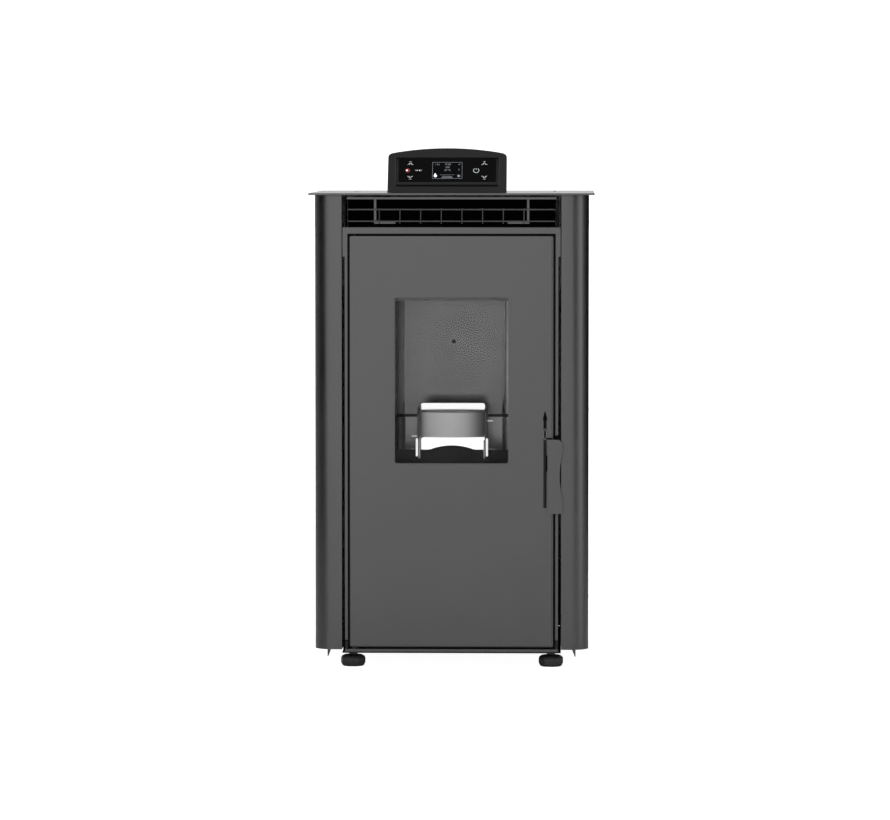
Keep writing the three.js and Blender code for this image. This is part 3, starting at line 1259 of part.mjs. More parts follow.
function hopperGrid() {
  const half = HOPPER_HALF - HOPPER_WALL - GAP;
  const depth = [HOPPER_FRONT + HOPPER_WALL + GAP, HOPPER_REAR - HOPPER_WALL - GAP];
  const level = [GRID_LEVEL, GRID_LEVEL + PLATE];
  const pitchX = (2 * half - GRID_BAR) / GRID_COLUMNS;
  const pitchY = (depth[1] - depth[0] - GRID_BAR) / GRID_ROWS;
  const holes = range(GRID_COLUMNS).flatMap((column) => range(GRID_ROWS).map((row) => block(
    [GRID_BAR - half + column * pitchX, -half + (column + 1) * pitchX],
    [depth[0] + GRID_BAR + row * pitchY, depth[0] + (row + 1) * pitchY],
    [level[0] - 1, level[1] + 1],
  )));
  return cut(block(spread(half), depth, level), ...holes);
}

function hopperLid() {
  const plate = block(spread(LID_HALF), [LID_FRONT, LID_REAR], [TOP_UNDER, TOP]);
  const rim = cut(
    block(spread(LID_HALF - 2), [LID_FRONT + 6, LID_REAR - 2], [TOP_UNDER - LID_FLANGE, TOP_UNDER + 0.5]),
    block(spread(LID_HALF - 2 - TRAY_SHEET), [LID_FRONT + 8, LID_REAR], [TOP_UNDER - LID_FLANGE - 1, TOP_UNDER]),
  );
  const pins = [-1, 1].map((side) => bar(
    "x",
    [LID_PIN_Y, LID_PIN_Z],
    LID_PIN_RADIUS,
    [side * (LID_HALF - 3), side * (MOUTH_X + GAP + PLATE)].sort((a, b) => a - b),
    16,
  ));
  return join(plate, rim, ...pins);
}

// The tube is open on its upper side inside the hopper and ends over a spout into the firebox.
function augerTube() {
  const tube = augerBar(AUGER_TUBE_RADIUS, [-AUGER_TUBE_WALL, AUGER_LENGTH], 40);
  const spoutFront = FIREBOX_DEPTH + GAP;
  const spoutBack = AUGER_TOP_Y + 14;
  const spoutLevel = [SPOUT_BOTTOM, SPOUT_BOTTOM + SPOUT_HEIGHT];
  const spout = block(spread(SPOUT_WIDTH / 2), [spoutFront, spoutBack], spoutLevel);
  const wall = AUGER_TUBE_WALL;
  const spoutBore = block(
    spread(SPOUT_WIDTH / 2 - wall),
    [spoutFront - 1, spoutBack - wall],
    [spoutLevel[0] + wall, spoutLevel[1] - wall],
  );
  const bore = augerBar(AUGER_BORE, [0, AUGER_LENGTH + 1], 40);
  const inlet = augerBlock(
    spread(AUGER_TUBE_RADIUS + 1),
    [AUGER_LENGTH - AUGER_INTAKE_LENGTH, AUGER_LENGTH + 1],
    [AUGER_SHAFT_RADIUS, AUGER_TUBE_RADIUS + 1],
  );
  return cut(join(tube, spout), spoutBore, bore, inlet);
}

// A helical flight round the shaft, swept ring by ring with a four-cornered section.
function augerScrew() {
  const stepsPerTurn = 12;
  const from = 6;
  const to = AUGER_LENGTH - 4;
  const turns = (to - from) / AUGER_PITCH;
  const steps = Math.round(turns * stepsPerTurn);
  const inner = AUGER_SHAFT_RADIUS - 2;
  const outer = AUGER_BORE - AUGER_CLEARANCE;
  const half = AUGER_FLIGHT_THICKNESS / 2;
  const corners = [[inner, -half], [inner, half], [outer, half], [outer, -half]];
  const positions = [];
  for (let step = 0; step <= steps; step += 1) {
    const angle = (step / steps) * turns * 2 * Math.PI;
    const along = from + half + (step / steps) * (to - from - 2 * half);
    for (const [radius, shift] of corners) {
      positions.push(radius * Math.cos(angle), along + shift, -radius * Math.sin(angle));
    }
  }
  const faces = [0, 2, 1, 0, 3, 2];
  for (let step = 0; step < steps; step += 1) {
    for (let side = 0; side < 4; side += 1) {
      const a = step * 4 + side;
      const b = step * 4 + ((side + 1) % 4);
      faces.push(a, b, b + 4, a, b + 4, a + 4);
    }
  }
  const last = steps * 4;
  faces.push(last, last + 1, last + 2, last, last + 2, last + 3);
  const flight = new THREE.BufferGeometry();
  flight.setAttribute("position", new THREE.Float32BufferAttribute(positions, 3));
  flight.setIndex(faces);
  const shaft = augerBar(AUGER_SHAFT_RADIUS, [PLAY, AUGER_END + 14], 16);
  return join(shaft, toSolid(flight.applyMatrix4(AUGER_FRAME)));
}

function augerMotor() {
  const start = AUGER_END + GAP;
  const gearbox = augerBlock(spread(MOTOR_RADIUS), [start, start + AUGER_MOTOR_LENGTH / 2], spread(MOTOR_RADIUS));
  const motor = augerBar(MOTOR_RADIUS - 4, [start + AUGER_MOTOR_LENGTH / 2 - 1, start + AUGER_MOTOR_LENGTH], 28);
  const bore = augerBar(AUGER_SHAFT_RADIUS + GAP, [start - 1, start + 18], 16);
  return cut(join(gearbox, motor), bore);
}

// ---------------------------------------------------------------- air grille
function airGrille() {
  const rails = [RAIL_HIGH, RAIL_LOW].map((z) => bar("x", [RAIL_Y, z], RAIL_RADIUS, spread(RAIL_LENGTH / 2), 10));
  const wireY = RAIL_Y - RAIL_RADIUS - WIRE_RADIUS + 0.4;
  const wires = range(WIRE_COUNT).map((index) => bar(
    "z",
    [(index - (WIRE_COUNT - 1) / 2) * WIRE_PITCH, wireY],
    WIRE_RADIUS,
    [RAIL_LOW - 4, RAIL_HIGH + 2],
    8,
  ));
  const straps = [-1, 1].flatMap((side) => {
    const across = (a, b) => [side * a, side * b].sort((p, q) => p - q);
    const y = [RAIL_Y - 0.8, RAIL_Y - 0.8 + STRAP_THICKNESS];
    const foot = RAIL_LOW - RAIL_RADIUS - 2.5;
    return [
      block(across(STRAP_X - STRAP_WIDTH / 2, STRAP_X + STRAP_WIDTH / 2), y, [foot, LIP_TOP - TRAY_SHEET - GAP]),
      block(across(STRAP_X - STRAP_FOOT, STRAP_X + STRAP_WIDTH / 2), y, [foot, foot + 3.5]),
    ];
  });
  return join(...rails, ...wires, ...straps);
}

// ---------------------------------------------------------------- console
// Panel coordinates: x across, depth into the console, v up the slope from its bottom edge.
const console_ = new THREE.Group();
console_.position.set(CONSOLE_X, CONSOLE_FRONT, TOP + GAP);
console_.rotation.x = -CONSOLE_TILT;
casing.add(console_);
console_.updateMatrix();

function panelPoint(depth, v) {
  return [
    CONSOLE_FRONT + depth * Math.cos(CONSOLE_TILT) + v * Math.sin(CONSOLE_TILT),
    TOP + GAP - depth * Math.sin(CONSOLE_TILT) + v * Math.cos(CONSOLE_TILT),
  ];
}

function tiltedPlate(shape, [near, far], curveSegments = 6) {
  const geometry = extruded(shape, far - near, curveSegments).applyMatrix4(STAND_UP).translate(0, far, 0);
  return toSolid(geometry.applyMatrix4(console_.matrix));
}

function keyHoles(radius, depth) {
  return KEYS.map(([, x, v]) => plateY(polygon(arcPoints([x, v], radius, 0, 2 * Math.PI, 20).slice(0, -1)), depth));
}

function consoleHousing() {
  const half = CONSOLE_WIDTH / 2;
  const drop = CONSOLE_ARC_RADIUS - Math.sqrt(CONSOLE_ARC_RADIUS ** 2 - (half - 3) ** 2);
  const shoulder = CONSOLE_SLOPE - drop - CONSOLE_CORNER * 0.9;
  const face = polygon([
    [-half, 0],
    [half, 0],
    ...arcPoints([half - CONSOLE_CORNER, shoulder], CONSOLE_CORNER, 0, Math.PI / 2.4, 4),
    ...crownPoints(half - 12, CONSOLE_SLOPE - drop * 0.8, drop * 0.8, 12),
    ...arcPoints([CONSOLE_CORNER - half, shoulder], CONSOLE_CORNER, Math.PI - Math.PI / 2.4, Math.PI, 4),
  ]);
  const slab = tiltedPlate(face, [0, CONSOLE_SLAB]);
  const bodyTop = shoulder - 2;
  const body = plateX(polygon([
    panelPoint(8, -8),
    panelPoint(8, bodyTop),
    panelPoint(CONSOLE_SLAB + 8, bodyTop - 2),
    [CONSOLE_REAR, TOP + GAP],
    [CONSOLE_REAR, TOP - 5],
  ]), spread(half - 4).map((x) => x + CONSOLE_X));
  const hollow = plateX(polygon([
    panelPoint(CONSOLE_FACE, 6),
    panelPoint(CONSOLE_FACE, bodyTop - 4),
    panelPoint(CONSOLE_SLAB + 4, bodyTop - 6),
    [CONSOLE_REAR - CONSOLE_WALL, TOP + GAP],
    [CONSOLE_REAR - CONSOLE_WALL, TOP - 6],
    [panelPoint(CONSOLE_FACE, 6)[0], TOP - 6],
  ]), spread(half - 4 - CONSOLE_WALL).map((x) => x + CONSOLE_X));
  const under = block(spread(TOP_HALF), [-40, CONSOLE_REAR + 20], [TOP - 40, TOP + GAP]);
  const recess = tiltedPlate(
    roundedBox(spread(RECESS_WIDTH / 2), [RECESS_BOTTOM, RECESS_TOP], 4),
    [-1, RECESS_DEPTH],
  );
  const holes = KEYS.map(([, x, v]) => tiltedPlate(
    polygon(arcPoints([x, v], KEY_RADIUS + GAP, 0, 2 * Math.PI, 20).slice(0, -1)),
    [-1, CONSOLE_FACE + 2],
  ));
  return cut(join(slab, body), hollow, under, recess, ...holes);
}

function consoleOverlay() {
  const depth = [RECESS_DEPTH - GAP - OVERLAY_THICKNESS, RECESS_DEPTH - GAP];
  const cutDepth = [depth[0] - 1, depth[1] + 1];
  return cut(
    plateY(roundedBox(spread(OVERLAY_WIDTH / 2), [OVERLAY_BOTTOM, OVERLAY_TOP], 3), depth),
    block(
      spread(LCD_WIDTH / 2 + GAP),
      cutDepth,
      [LCD_BOTTOM - GAP, LCD_BOTTOM + LCD_HEIGHT + GAP],
    ),
    ...keyHoles(KEY_RADIUS + GAP, cutDepth),
  );
}

function lcdDisplay() {
  return block(
    spread(LCD_WIDTH / 2),
    [RECESS_DEPTH - GAP - OVERLAY_THICKNESS, RECESS_DEPTH - GAP],
    [LCD_BOTTOM, LCD_BOTTOM + LCD_HEIGHT],
  );
}

function controlBoard() {
  return block(
    spread(OVERLAY_WIDTH / 2 - 6),
    [BOARD_DEPTH, BOARD_DEPTH + BOARD_THICKNESS],
    [OVERLAY_BOTTOM, OVERLAY_TOP - 7],
  );
}

function key() {
  const disc = new THREE.CylinderGeometry(KEY_RADIUS, KEY_RADIUS, KEY_THICKNESS, 20);
  return toSolid(disc.translate(0, KEY_THICKNESS / 2, 0));
}

// ---------------------------------------------------------------- mains inlet
const INLET_HEIGHT = SOCKET_HEIGHT + ROCKER_HEIGHT + 12;
const ROCKER_Z = INLET_Z + INLET_HEIGHT - ROCKER_HEIGHT / 2 - 4;
const ROCKER_Y = CASE_DEPTH - 2;

function mainsInlet() {
  const half = INLET_WIDTH / 2;
  const flange = 4;
  const outer = CASE_DEPTH + GAP;
  const body = block(
    spread(half).map((x) => x + INLET_X),
    [CASE_DEPTH - INLET_DEPTH, outer + 0.5],
    [INLET_Z, INLET_Z + INLET_HEIGHT],
  );
  const bezel = block(
    spread(half + flange).map((x) => x + INLET_X),
    [outer, outer + TRAY_SHEET],
    [INLET_Z - flange, INLET_Z + INLET_HEIGHT + flange],
  );
  const socket = block(
    spread(half - 3).map((x) => x + INLET_X),
    [CASE_DEPTH - INLET_DEPTH / 2, outer + 5],
    [INLET_Z + 3, INLET_Z + 3 + SOCKET_HEIGHT],
  );
  const rockerWell = block(
    spread(ROCKER_WIDTH / 2 + GAP).map((x) => x + INLET_X),
    [ROCKER_Y - 9, outer + 5],
    spread(ROCKER_HEIGHT / 2 + 2).map((z) => z + ROCKER_Z),
  );
  return cut(join(body, bezel), socket, rockerWell);
}

// A shallow V that tips about its middle; it is drawn level and set to its off position.
function powerSwitch() {
  const half = ROCKER_HEIGHT / 2;
  const outline = polygon([[-6, -half + 1], [5, -half], [3, 0], [5, half], [-6, half - 1]]);
  return plateX(outline, spread(ROCKER_WIDTH / 2));
}

// ---------------------------------------------------------------- assembly
addPart("base_tray", baseTray(), "paint");
addPart("side_panel_left", sidePanel(-1), "paint");
addPart("side_panel_right", sidePanel(1), "paint");
addPart("top_plate", topPlate(), "paint");
addPart("rear_panel", rearPanel(), "zinc");
addPart("front_frame", frontFrame(), "paint");
for (const [name, x, y] of FOOT_PLACES) {
  addPart(name, foot(), "foot").position.set(x, y, 0);
}

addPart("door_panel", doorPanel(), "paint");
addPart("door_inner_frame", doorInnerFrame(), "castIron");
addPart("door_glass", doorGlass(), "glass");
addPart("door_gasket", doorGasket(), "rope");
addPart("hinge_pin_upper", hingePinUpper(), "darkPaint");
addPart("hinge_pin_lower", hingePinLower(), "darkPaint");
addPart("door_handle", doorHandle(), "paint");
addPart("latch_hook", latchHook(), "darkPaint");
addPart("latch_keeper", latchKeeper(), "zinc");

addPart("firebox", firebox(), "castIron");
addPart("fireback_upper", liner([LINER_SPLIT + LINER_SPLIT_GAP / 2, FIREBOX_ROOF - GAP]), "castIron");
addPart("fireback_lower", liner([FIREBOX_FLOOR + GAP, LINER_SPLIT - LINER_SPLIT_GAP / 2]), "castIron");
addPart("ash_guard", ashGuard(), "darkPaint");
addPart("pot_holder", potHolder(), "castIron");
addPart("burn_pot", burnPot(), "stainless");
addPart("pot_band", potBand(), "castIron");
addPart("igniter", igniter(), "stainless");
addPart("ash_drawer", ashDrawer(), "zinc");

addPart("heat_exchanger", heatExchanger(), "castIron");
addPart("air_duct", airDuct(), "darkPaint");
addPart("air_riser", airRiser(), "zinc");
addPart("smoke_duct", smokeDuct(), "castIron");
addPart("air_intake", airIntake(), "zinc");
addPart("air_grille", airGrille(), "paint");

addPart("smoke_fan_housing", smokeFanHousing(), "castIron");
addPart("smoke_fan_wheel", fanWheel(SMOKE_WHEEL_RADIUS, SMOKE_INLET_RADIUS, SMOKE_FAN_WIDTH - 2 * WHEEL_GAP), "stainless")
  .position.set(SMOKE_FAN_X, SMOKE_FAN_FRONT + WHEEL_GAP, SMOKE_FAN_Z);
addPart("smoke_fan_motor", fanMotor(), "zinc").position.set(SMOKE_FAN_X, SMOKE_FAN_BACK + GAP, SMOKE_FAN_Z);
addPart("room_fan_housing", roomFanHousing(), "zinc");
addPart("room_fan_wheel", fanWheel(ROOM_WHEEL_RADIUS, ROOM_INLET_RADIUS, RISER_DEPTH - 2 * WHEEL_GAP), "plastic")
  .position.set(ROOM_FAN_X, RISER_FRONT + WHEEL_GAP, ROOM_FAN_Z);
addPart("room_fan_motor", fanMotor(), "zinc").position.set(ROOM_FAN_X, RISER_BACK + GAP, ROOM_FAN_Z);

addPart("hopper", hopper(), "zinc");
addPart("hopper_grid", hopperGrid(), "zinc");
addPart("hopper_lid", hopperLid(), "paint");
addPart("auger_tube", augerTube(), "castIron");
addPart("auger_screw", augerScrew(), "stainless");
addPart("auger_motor", augerMotor(), "zinc");

addPart("console_housing", consoleHousing(), "plastic");
addPart("console_overlay", consoleOverlay(), "gloss", console_);
addPart("lcd_display", lcdDisplay(), "gloss", console_);
addPart("control_board", controlBoard(), "board", console_);
for (const [name, x, v] of KEYS) {
  addPart(name, key(), "gloss", console_).position.set(x, KEY_DEPTH, v);
}

addPart("mains_inlet", mainsInlet(), "plastic");
const rocker = addPart("power_switch", powerSwitch(), "plastic");
rocker.position.set(INLET_X, ROCKER_Y, ROCKER_Z);
rocker.rotation.x = ROCKER_REST;

export default stove;
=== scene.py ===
"""Looks of the free-standing pellet stove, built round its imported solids. Metres, Z up."""

import json
import math
import random

import bmesh
import bpy
from mathutils import Matrix, Vector


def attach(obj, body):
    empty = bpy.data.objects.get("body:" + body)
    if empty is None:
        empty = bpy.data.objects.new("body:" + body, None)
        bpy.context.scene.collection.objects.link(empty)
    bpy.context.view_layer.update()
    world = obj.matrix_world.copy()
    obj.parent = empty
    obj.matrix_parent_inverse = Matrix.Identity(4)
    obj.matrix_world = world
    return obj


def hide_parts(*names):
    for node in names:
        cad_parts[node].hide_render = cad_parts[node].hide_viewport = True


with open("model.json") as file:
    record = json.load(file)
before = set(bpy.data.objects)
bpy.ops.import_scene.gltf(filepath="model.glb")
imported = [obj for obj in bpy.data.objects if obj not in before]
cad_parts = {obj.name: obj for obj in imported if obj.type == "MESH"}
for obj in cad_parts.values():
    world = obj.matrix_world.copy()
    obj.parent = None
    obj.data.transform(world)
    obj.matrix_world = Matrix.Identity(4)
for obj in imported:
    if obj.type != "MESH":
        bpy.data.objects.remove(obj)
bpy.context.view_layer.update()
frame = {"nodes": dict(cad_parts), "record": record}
NODES = frame["nodes"]
MM = 0.001
MID_Y = 232.0  # depth of the row frame's origin behind the front of the door
BACK = 430.0  # depth of the rear panel's outer face
HANDLE_X = 151.8  # middle of the handle's rod and of the slot that it stands in
GUARD_FACE = 31.1  # depth of the plane that the guard's tabs and clips stand before
SPLIT_ANGLE, FOOT_SPLIT_ANGLE = 32.0, 24.0  # degrees between faces that keep a sharp edge
random.seed(7)


def P(x, y, z):
    """A point of the casing in millimetres, y from the door's front, as a place in the scene."""
    return Vector((x * MM, (y - MID_Y) * MM, z * MM))


# ---------------------------------------------------------------- camera
# Fitted to the edges in the photograph: places in its pixels, lengths in millimetres.
FOCAL_PX = 4759.0
YAW, PITCH = math.radians(1.5196), math.radians(3.2178)
IMAGE_WIDTH = 890.0
VANISH_X, VANISH_Y = 570.0, 145.0
SCALE = 1.63  # millimetres to a pixel at the front of the door
CENTRE_X, FLOOR_Y = 451.5, 667.6
DISTANCE = 7700.0
SHIFT_X, SHIFT_Z = 0.7, 2.0


def make_camera():
    data = bpy.data.cameras.new("camera")
    data.sensor_width = 36.0
    data.lens = FOCAL_PX / IMAGE_WIDTH * data.sensor_width
    data.clip_start, data.clip_end = 0.1, 100.0
    camera = bpy.data.objects.new("camera", data)
    bpy.context.scene.collection.objects.link(camera)
    camera.location = P((VANISH_X - CENTRE_X) * SCALE + SHIFT_X, -DISTANCE,
                        (FLOOR_Y - VANISH_Y) * SCALE + SHIFT_Z)
    level = math.cos(PITCH)
    forward = Vector((-math.sin(YAW) * level, math.cos(YAW) * level, -math.sin(PITCH)))
    camera.rotation_mode = "QUATERNION"
    camera.rotation_quaternion = forward.to_track_quat("-Z", "Y")
    bpy.context.scene.camera = camera
    bpy.context.scene.view_settings.view_transform = "Standard"


# ---------------------------------------------------------------- materials
def new_material(name):
    material = bpy.data.materials.new(name)
    material.use_nodes = True
    tree = material.node_tree
    tree.nodes.clear()
    return material, tree


def add_node(tree, kind, **values):
    node = tree.nodes.new(kind)
    for key, value in values.items():
        if key in node.inputs:
            node.inputs[key].default_value = value
        else:
            setattr(node, key, value)
    return node


def show(tree, socket, kind="ShaderNodeOutputMaterial"):
    """Makes a shader the surface of its material or world."""
    tree.links.new(socket, add_node(tree, kind).inputs["Surface"])


def mix_shaders(tree, factor, first, second):
    mix = add_node(tree, "ShaderNodeMixShader")
    tree.links.new(factor, mix.inputs["Fac"])
    tree.links.new(first, mix.inputs[1])
    tree.links.new(second, mix.inputs[2])
    return mix.outputs["Shader"]


def noise(tree, scale, detail=3.0, stretch=(1, 1, 1)):
    place = add_node(tree, "ShaderNodeTexCoord")
    mapping = add_node(tree, "ShaderNodeMapping")
    mapping.inputs["Scale"].default_value = stretch
    texture = add_node(tree, "ShaderNodeTexNoise", Scale=scale, Detail=detail)
    tree.links.new(place.outputs["Object"], mapping.inputs["Vector"])
    tree.links.new(mapping.outputs["Vector"], texture.inputs["Vector"])
    return texture.outputs["Fac"]


def ramp(tree, factor, low, high, start=0.3, end=0.7):
    node = add_node(tree, "ShaderNodeMapRange")
    node.inputs["From Min"].default_value = start
    node.inputs["From Max"].default_value = end
    node.inputs["To Min"].default_value = low
    node.inputs["To Max"].default_value = high
    tree.links.new(factor, node.inputs["Value"])
    return node.outputs["Result"]


def surface(name, first, second, rough, metallic=0.0, patch=9.0, grain=900.0, bump=0.03,
            stretch=(1, 1, 1), specular=0.5, rough_spread=0.06):
    """A finish with broad colour patches, uneven sheen and a fine grain."""
    material, tree = new_material(name)
    shader = add_node(tree, "ShaderNodeBsdfPrincipled", Metallic=metallic)
    shader.inputs["Specular IOR Level"].default_value = specular
    broad = noise(tree, patch, 4.0)
    colour = blend(tree, ramp(tree, broad, 0, 1), first, second)
    sheen = ramp(tree, broad, rough - rough_spread, rough + rough_spread)
    finish_surface(tree, shader, colour, sheen, grain, bump, stretch)
    return material


def grey(value):
    return (value, value, value * 1.01)


def make_glass():
    """Thin clear pane: mostly see-through, with a faint reflection and a trace of dust."""
    material, tree = new_material("fire_glass")
    clear = add_node(tree, "ShaderNodeBsdfTransparent", Color=(0.957, 0.957, 0.957, 1))
    gloss = add_node(tree, "ShaderNodeBsdfGlossy", Roughness=0.05)
    mist = ramp(tree, noise(tree, 14.0), 0.003, 0.010)
    show(tree, mix_shaders(tree, mist, clear.outputs["BSDF"], gloss.outputs["BSDF"]))
    return material


def between(tree, value, low, high, soft_low, soft_high):
    """1 between two lengths in metres, fading to 0 over a soft margin outside them."""
    rise = add_node(tree, "ShaderNodeMapRange", interpolation_type="SMOOTHSTEP")
    rise.inputs["From Min"].default_value = low - soft_low
    rise.inputs["From Max"].default_value = low
    fall = add_node(tree, "ShaderNodeMapRange", interpolation_type="SMOOTHSTEP")
    fall.inputs["From Min"].default_value = high
    fall.inputs["From Max"].default_value = high + soft_high
    fall.inputs["To Min"].default_value = 1.0
    fall.inputs["To Max"].default_value = 0.0
    for node in (rise, fall):
        tree.links.new(value, node.inputs["Value"])
    return product(tree, rise.outputs["Result"], fall.outputs["Result"])


def scaled(tree, value, factor):
    node = add_node(tree, "ShaderNodeMath", operation="MULTIPLY")
    node.inputs[1].default_value = factor
    tree.links.new(value, node.inputs[0])
    return node.outputs["Value"]


def blend(tree, factor, first, second):
    """A mix of two linked or fixed colours."""
    node = tree.nodes.new("ShaderNodeMix")
    node.data_type = "RGBA"
    sockets = [socket for socket in node.inputs if socket.type == "RGBA"]
    for socket, colour in zip(sockets, (first, second)):
        if isinstance(colour, tuple):
            socket.default_value = (*colour, 1)
        else:
            tree.links.new(colour, socket)
    tree.links.new(factor, node.inputs["Factor"])
    return next(socket for socket in node.outputs if socket.type == "RGBA")


def place_of(tree):
    """The place on the piece at rest, in metres of the scene."""
    place = add_node(tree, "ShaderNodeTexCoord")
    split = add_node(tree, "ShaderNodeSeparateXYZ")
    tree.links.new(place.outputs["Object"], split.inputs["Vector"])
    return split.outputs["X"], split.outputs["Y"], split.outputs["Z"]


def product(tree, *factors):
    value = factors[0]
    for factor in factors[1:]:
        node = add_node(tree, "ShaderNodeMath", operation="MULTIPLY")
        tree.links.new(value, node.inputs[0])
        tree.links.new(factor, node.inputs[1])
        value = node.outputs["Value"]
    return value


def finish_surface(tree, shader, colour, rough, grain, bump, stretch=(1, 1, 1)):
    tree.links.new(colour, shader.inputs["Base Color"])
    tree.links.new(rough, shader.inputs["Roughness"])
    relief = add_node(tree, "ShaderNodeBump", Strength=bump, Distance=0.0004)
    tree.links.new(noise(tree, grain, 2.0, stretch), relief.inputs["Height"])
    tree.links.new(relief.outputs["Normal"], shader.inputs["Normal"])
    show(tree, shader.outputs["BSDF"])


def make_liner():
    """Smooth sheet of the fire chamber: painted shade on its left wall, painted light on its right
    wall, paler and less metallic low down, and a painted shadow behind the pot.
    """
    material, tree = new_material("liner")
    shader = add_node(tree, "ShaderNodeBsdfPrincipled")
    shader.inputs["Specular IOR Level"].default_value = 0.3
    broad = noise(tree, 12.0, 4.0)
    base_tone = blend(tree, ramp(tree, broad, 0, 1), grey(0.112), grey(0.120))
    x, _, z = place_of(tree)
    # Painted light and shade on the side walls: dark on the left wall, near white on the right
    # wall.
    pale_right_wall_light = blend(tree, ramp(tree, x, 0, 1, 0.076, 0.084), (0.55, 0.55, 0.55), (0.9, 0.9, 0.9))
    painted_walls_and_pale_low = blend(tree, ramp(tree, x, 0, 1, -0.094, -0.078), (0.05, 0.05, 0.05), pale_right_wall_light)
    middle = between(tree, x, -0.078, 0.082, 0.012, 0.008)
    walls = ramp(tree, middle, 1.0, 0.0, 0.0, 1.0)
    low = scaled(tree, ramp(tree, z, 1.0, 0.0, 0.400, 0.405), 0.20)
    # This maximum holds the painted light and shade of the walls and the paler, less metallic sheet
    # low down.
    dust = add_node(tree, "ShaderNodeMath", operation="MAXIMUM")
    tree.links.new(walls, dust.inputs[0])
    tree.links.new(low, dust.inputs[1])
    amount = dust.outputs["Value"]
    tree.links.new(ramp(tree, amount, 0.95, 0.0, 0.0, 1.0), shader.inputs["Metallic"])
    # Painted shadow: the fireback darkens to near black just above the burn pot.
    behind_pot = between(tree, x, -0.036, 0.048, 0.014, 0.012)
    painted_shadow = product(tree, behind_pot, between(tree, z, 0.418, 0.430, 0.004, 0.012))
    sheet = blend(tree, amount, base_tone, painted_walls_and_pale_low)
    colour = blend(tree, scaled(tree, painted_shadow, 0.8), sheet, (0.012, 0.012, 0.012))
    finish_surface(tree, shader, colour, ramp(tree, broad, 0.20, 0.24), 1100.0, 0.01)
    return material


def make_fire_front():
    """Dark paint of the fire body, with a painted highlight of bright metal on the lip over its
    mouth.
    """
    material, tree = new_material("fire_front")
    shader = add_node(tree, "ShaderNodeBsdfPrincipled")
    shader.inputs["Specular IOR Level"].default_value = 0.25
    broad = noise(tree, 9.0, 4.0)
    paint = blend(tree, ramp(tree, broad, 0, 1), grey(0.010), grey(0.014))
    x, y, z = place_of(tree)
    # Painted highlight: a bright metal strip on the front of the lip over the mouth.
    across = between(tree, x, -0.0945, 0.0945, 0.001, 0.001)
    height = between(tree, z, 0.594, 0.606, 0.001, 0.003)
    lip = product(tree, across, height, ramp(tree, y, 1.0, 0.0, -0.199, -0.195))
    tree.links.new(scaled(tree, lip, 0.9), shader.inputs["Metallic"])
    colour = blend(tree, lip, paint, (0.13, 0.13, 0.13))
    finish_surface(tree, shader, colour, ramp(tree, broad, 0.40, 0.46), 1200.0, 0.03)
    return material


def make_band():
    """The bowed band in front of the burn pot: heat-dulled steel, with painted shade darkening it
    towards its ends.
    """
    material, tree = new_material("band")
    shader = add_node(tree, "ShaderNodeBsdfPrincipled", Metallic=0.35)
    broad = noise(tree, 30.0, 3.0)
    base_tone = blend(tree, ramp(tree, broad, 0, 1), grey(0.49), grey(0.53))
    x, _, _ = place_of(tree)
    # Painted shade: the colour falls to near black towards both ends of the band.
    middle = between(tree, x, -0.036, 0.016, 0.028, 0.042)
    colour = blend(tree, middle, (0.09, 0.09, 0.09), base_tone)
    finish_surface(tree, shader, colour, ramp(tree, broad, 0.44, 0.50), 700.0, 0.02)
    return material


def make_glow(name, inner, outer, strength, scale):
    """A lit mark whose light varies a little over its surface."""
    material, tree = new_material(name)
    shader = add_node(tree, "ShaderNodeBsdfPrincipled", Roughness=0.4)
    shader.inputs["Emission Strength"].default_value = strength
    colour = blend(tree, ramp(tree, noise(tree, scale), 0, 1), inner, outer)
    tree.links.new(colour, shader.inputs["Base Color"])
    tree.links.new(colour, shader.inputs["Emission Color"])
    show(tree, shader.outputs["BSDF"])
    return material


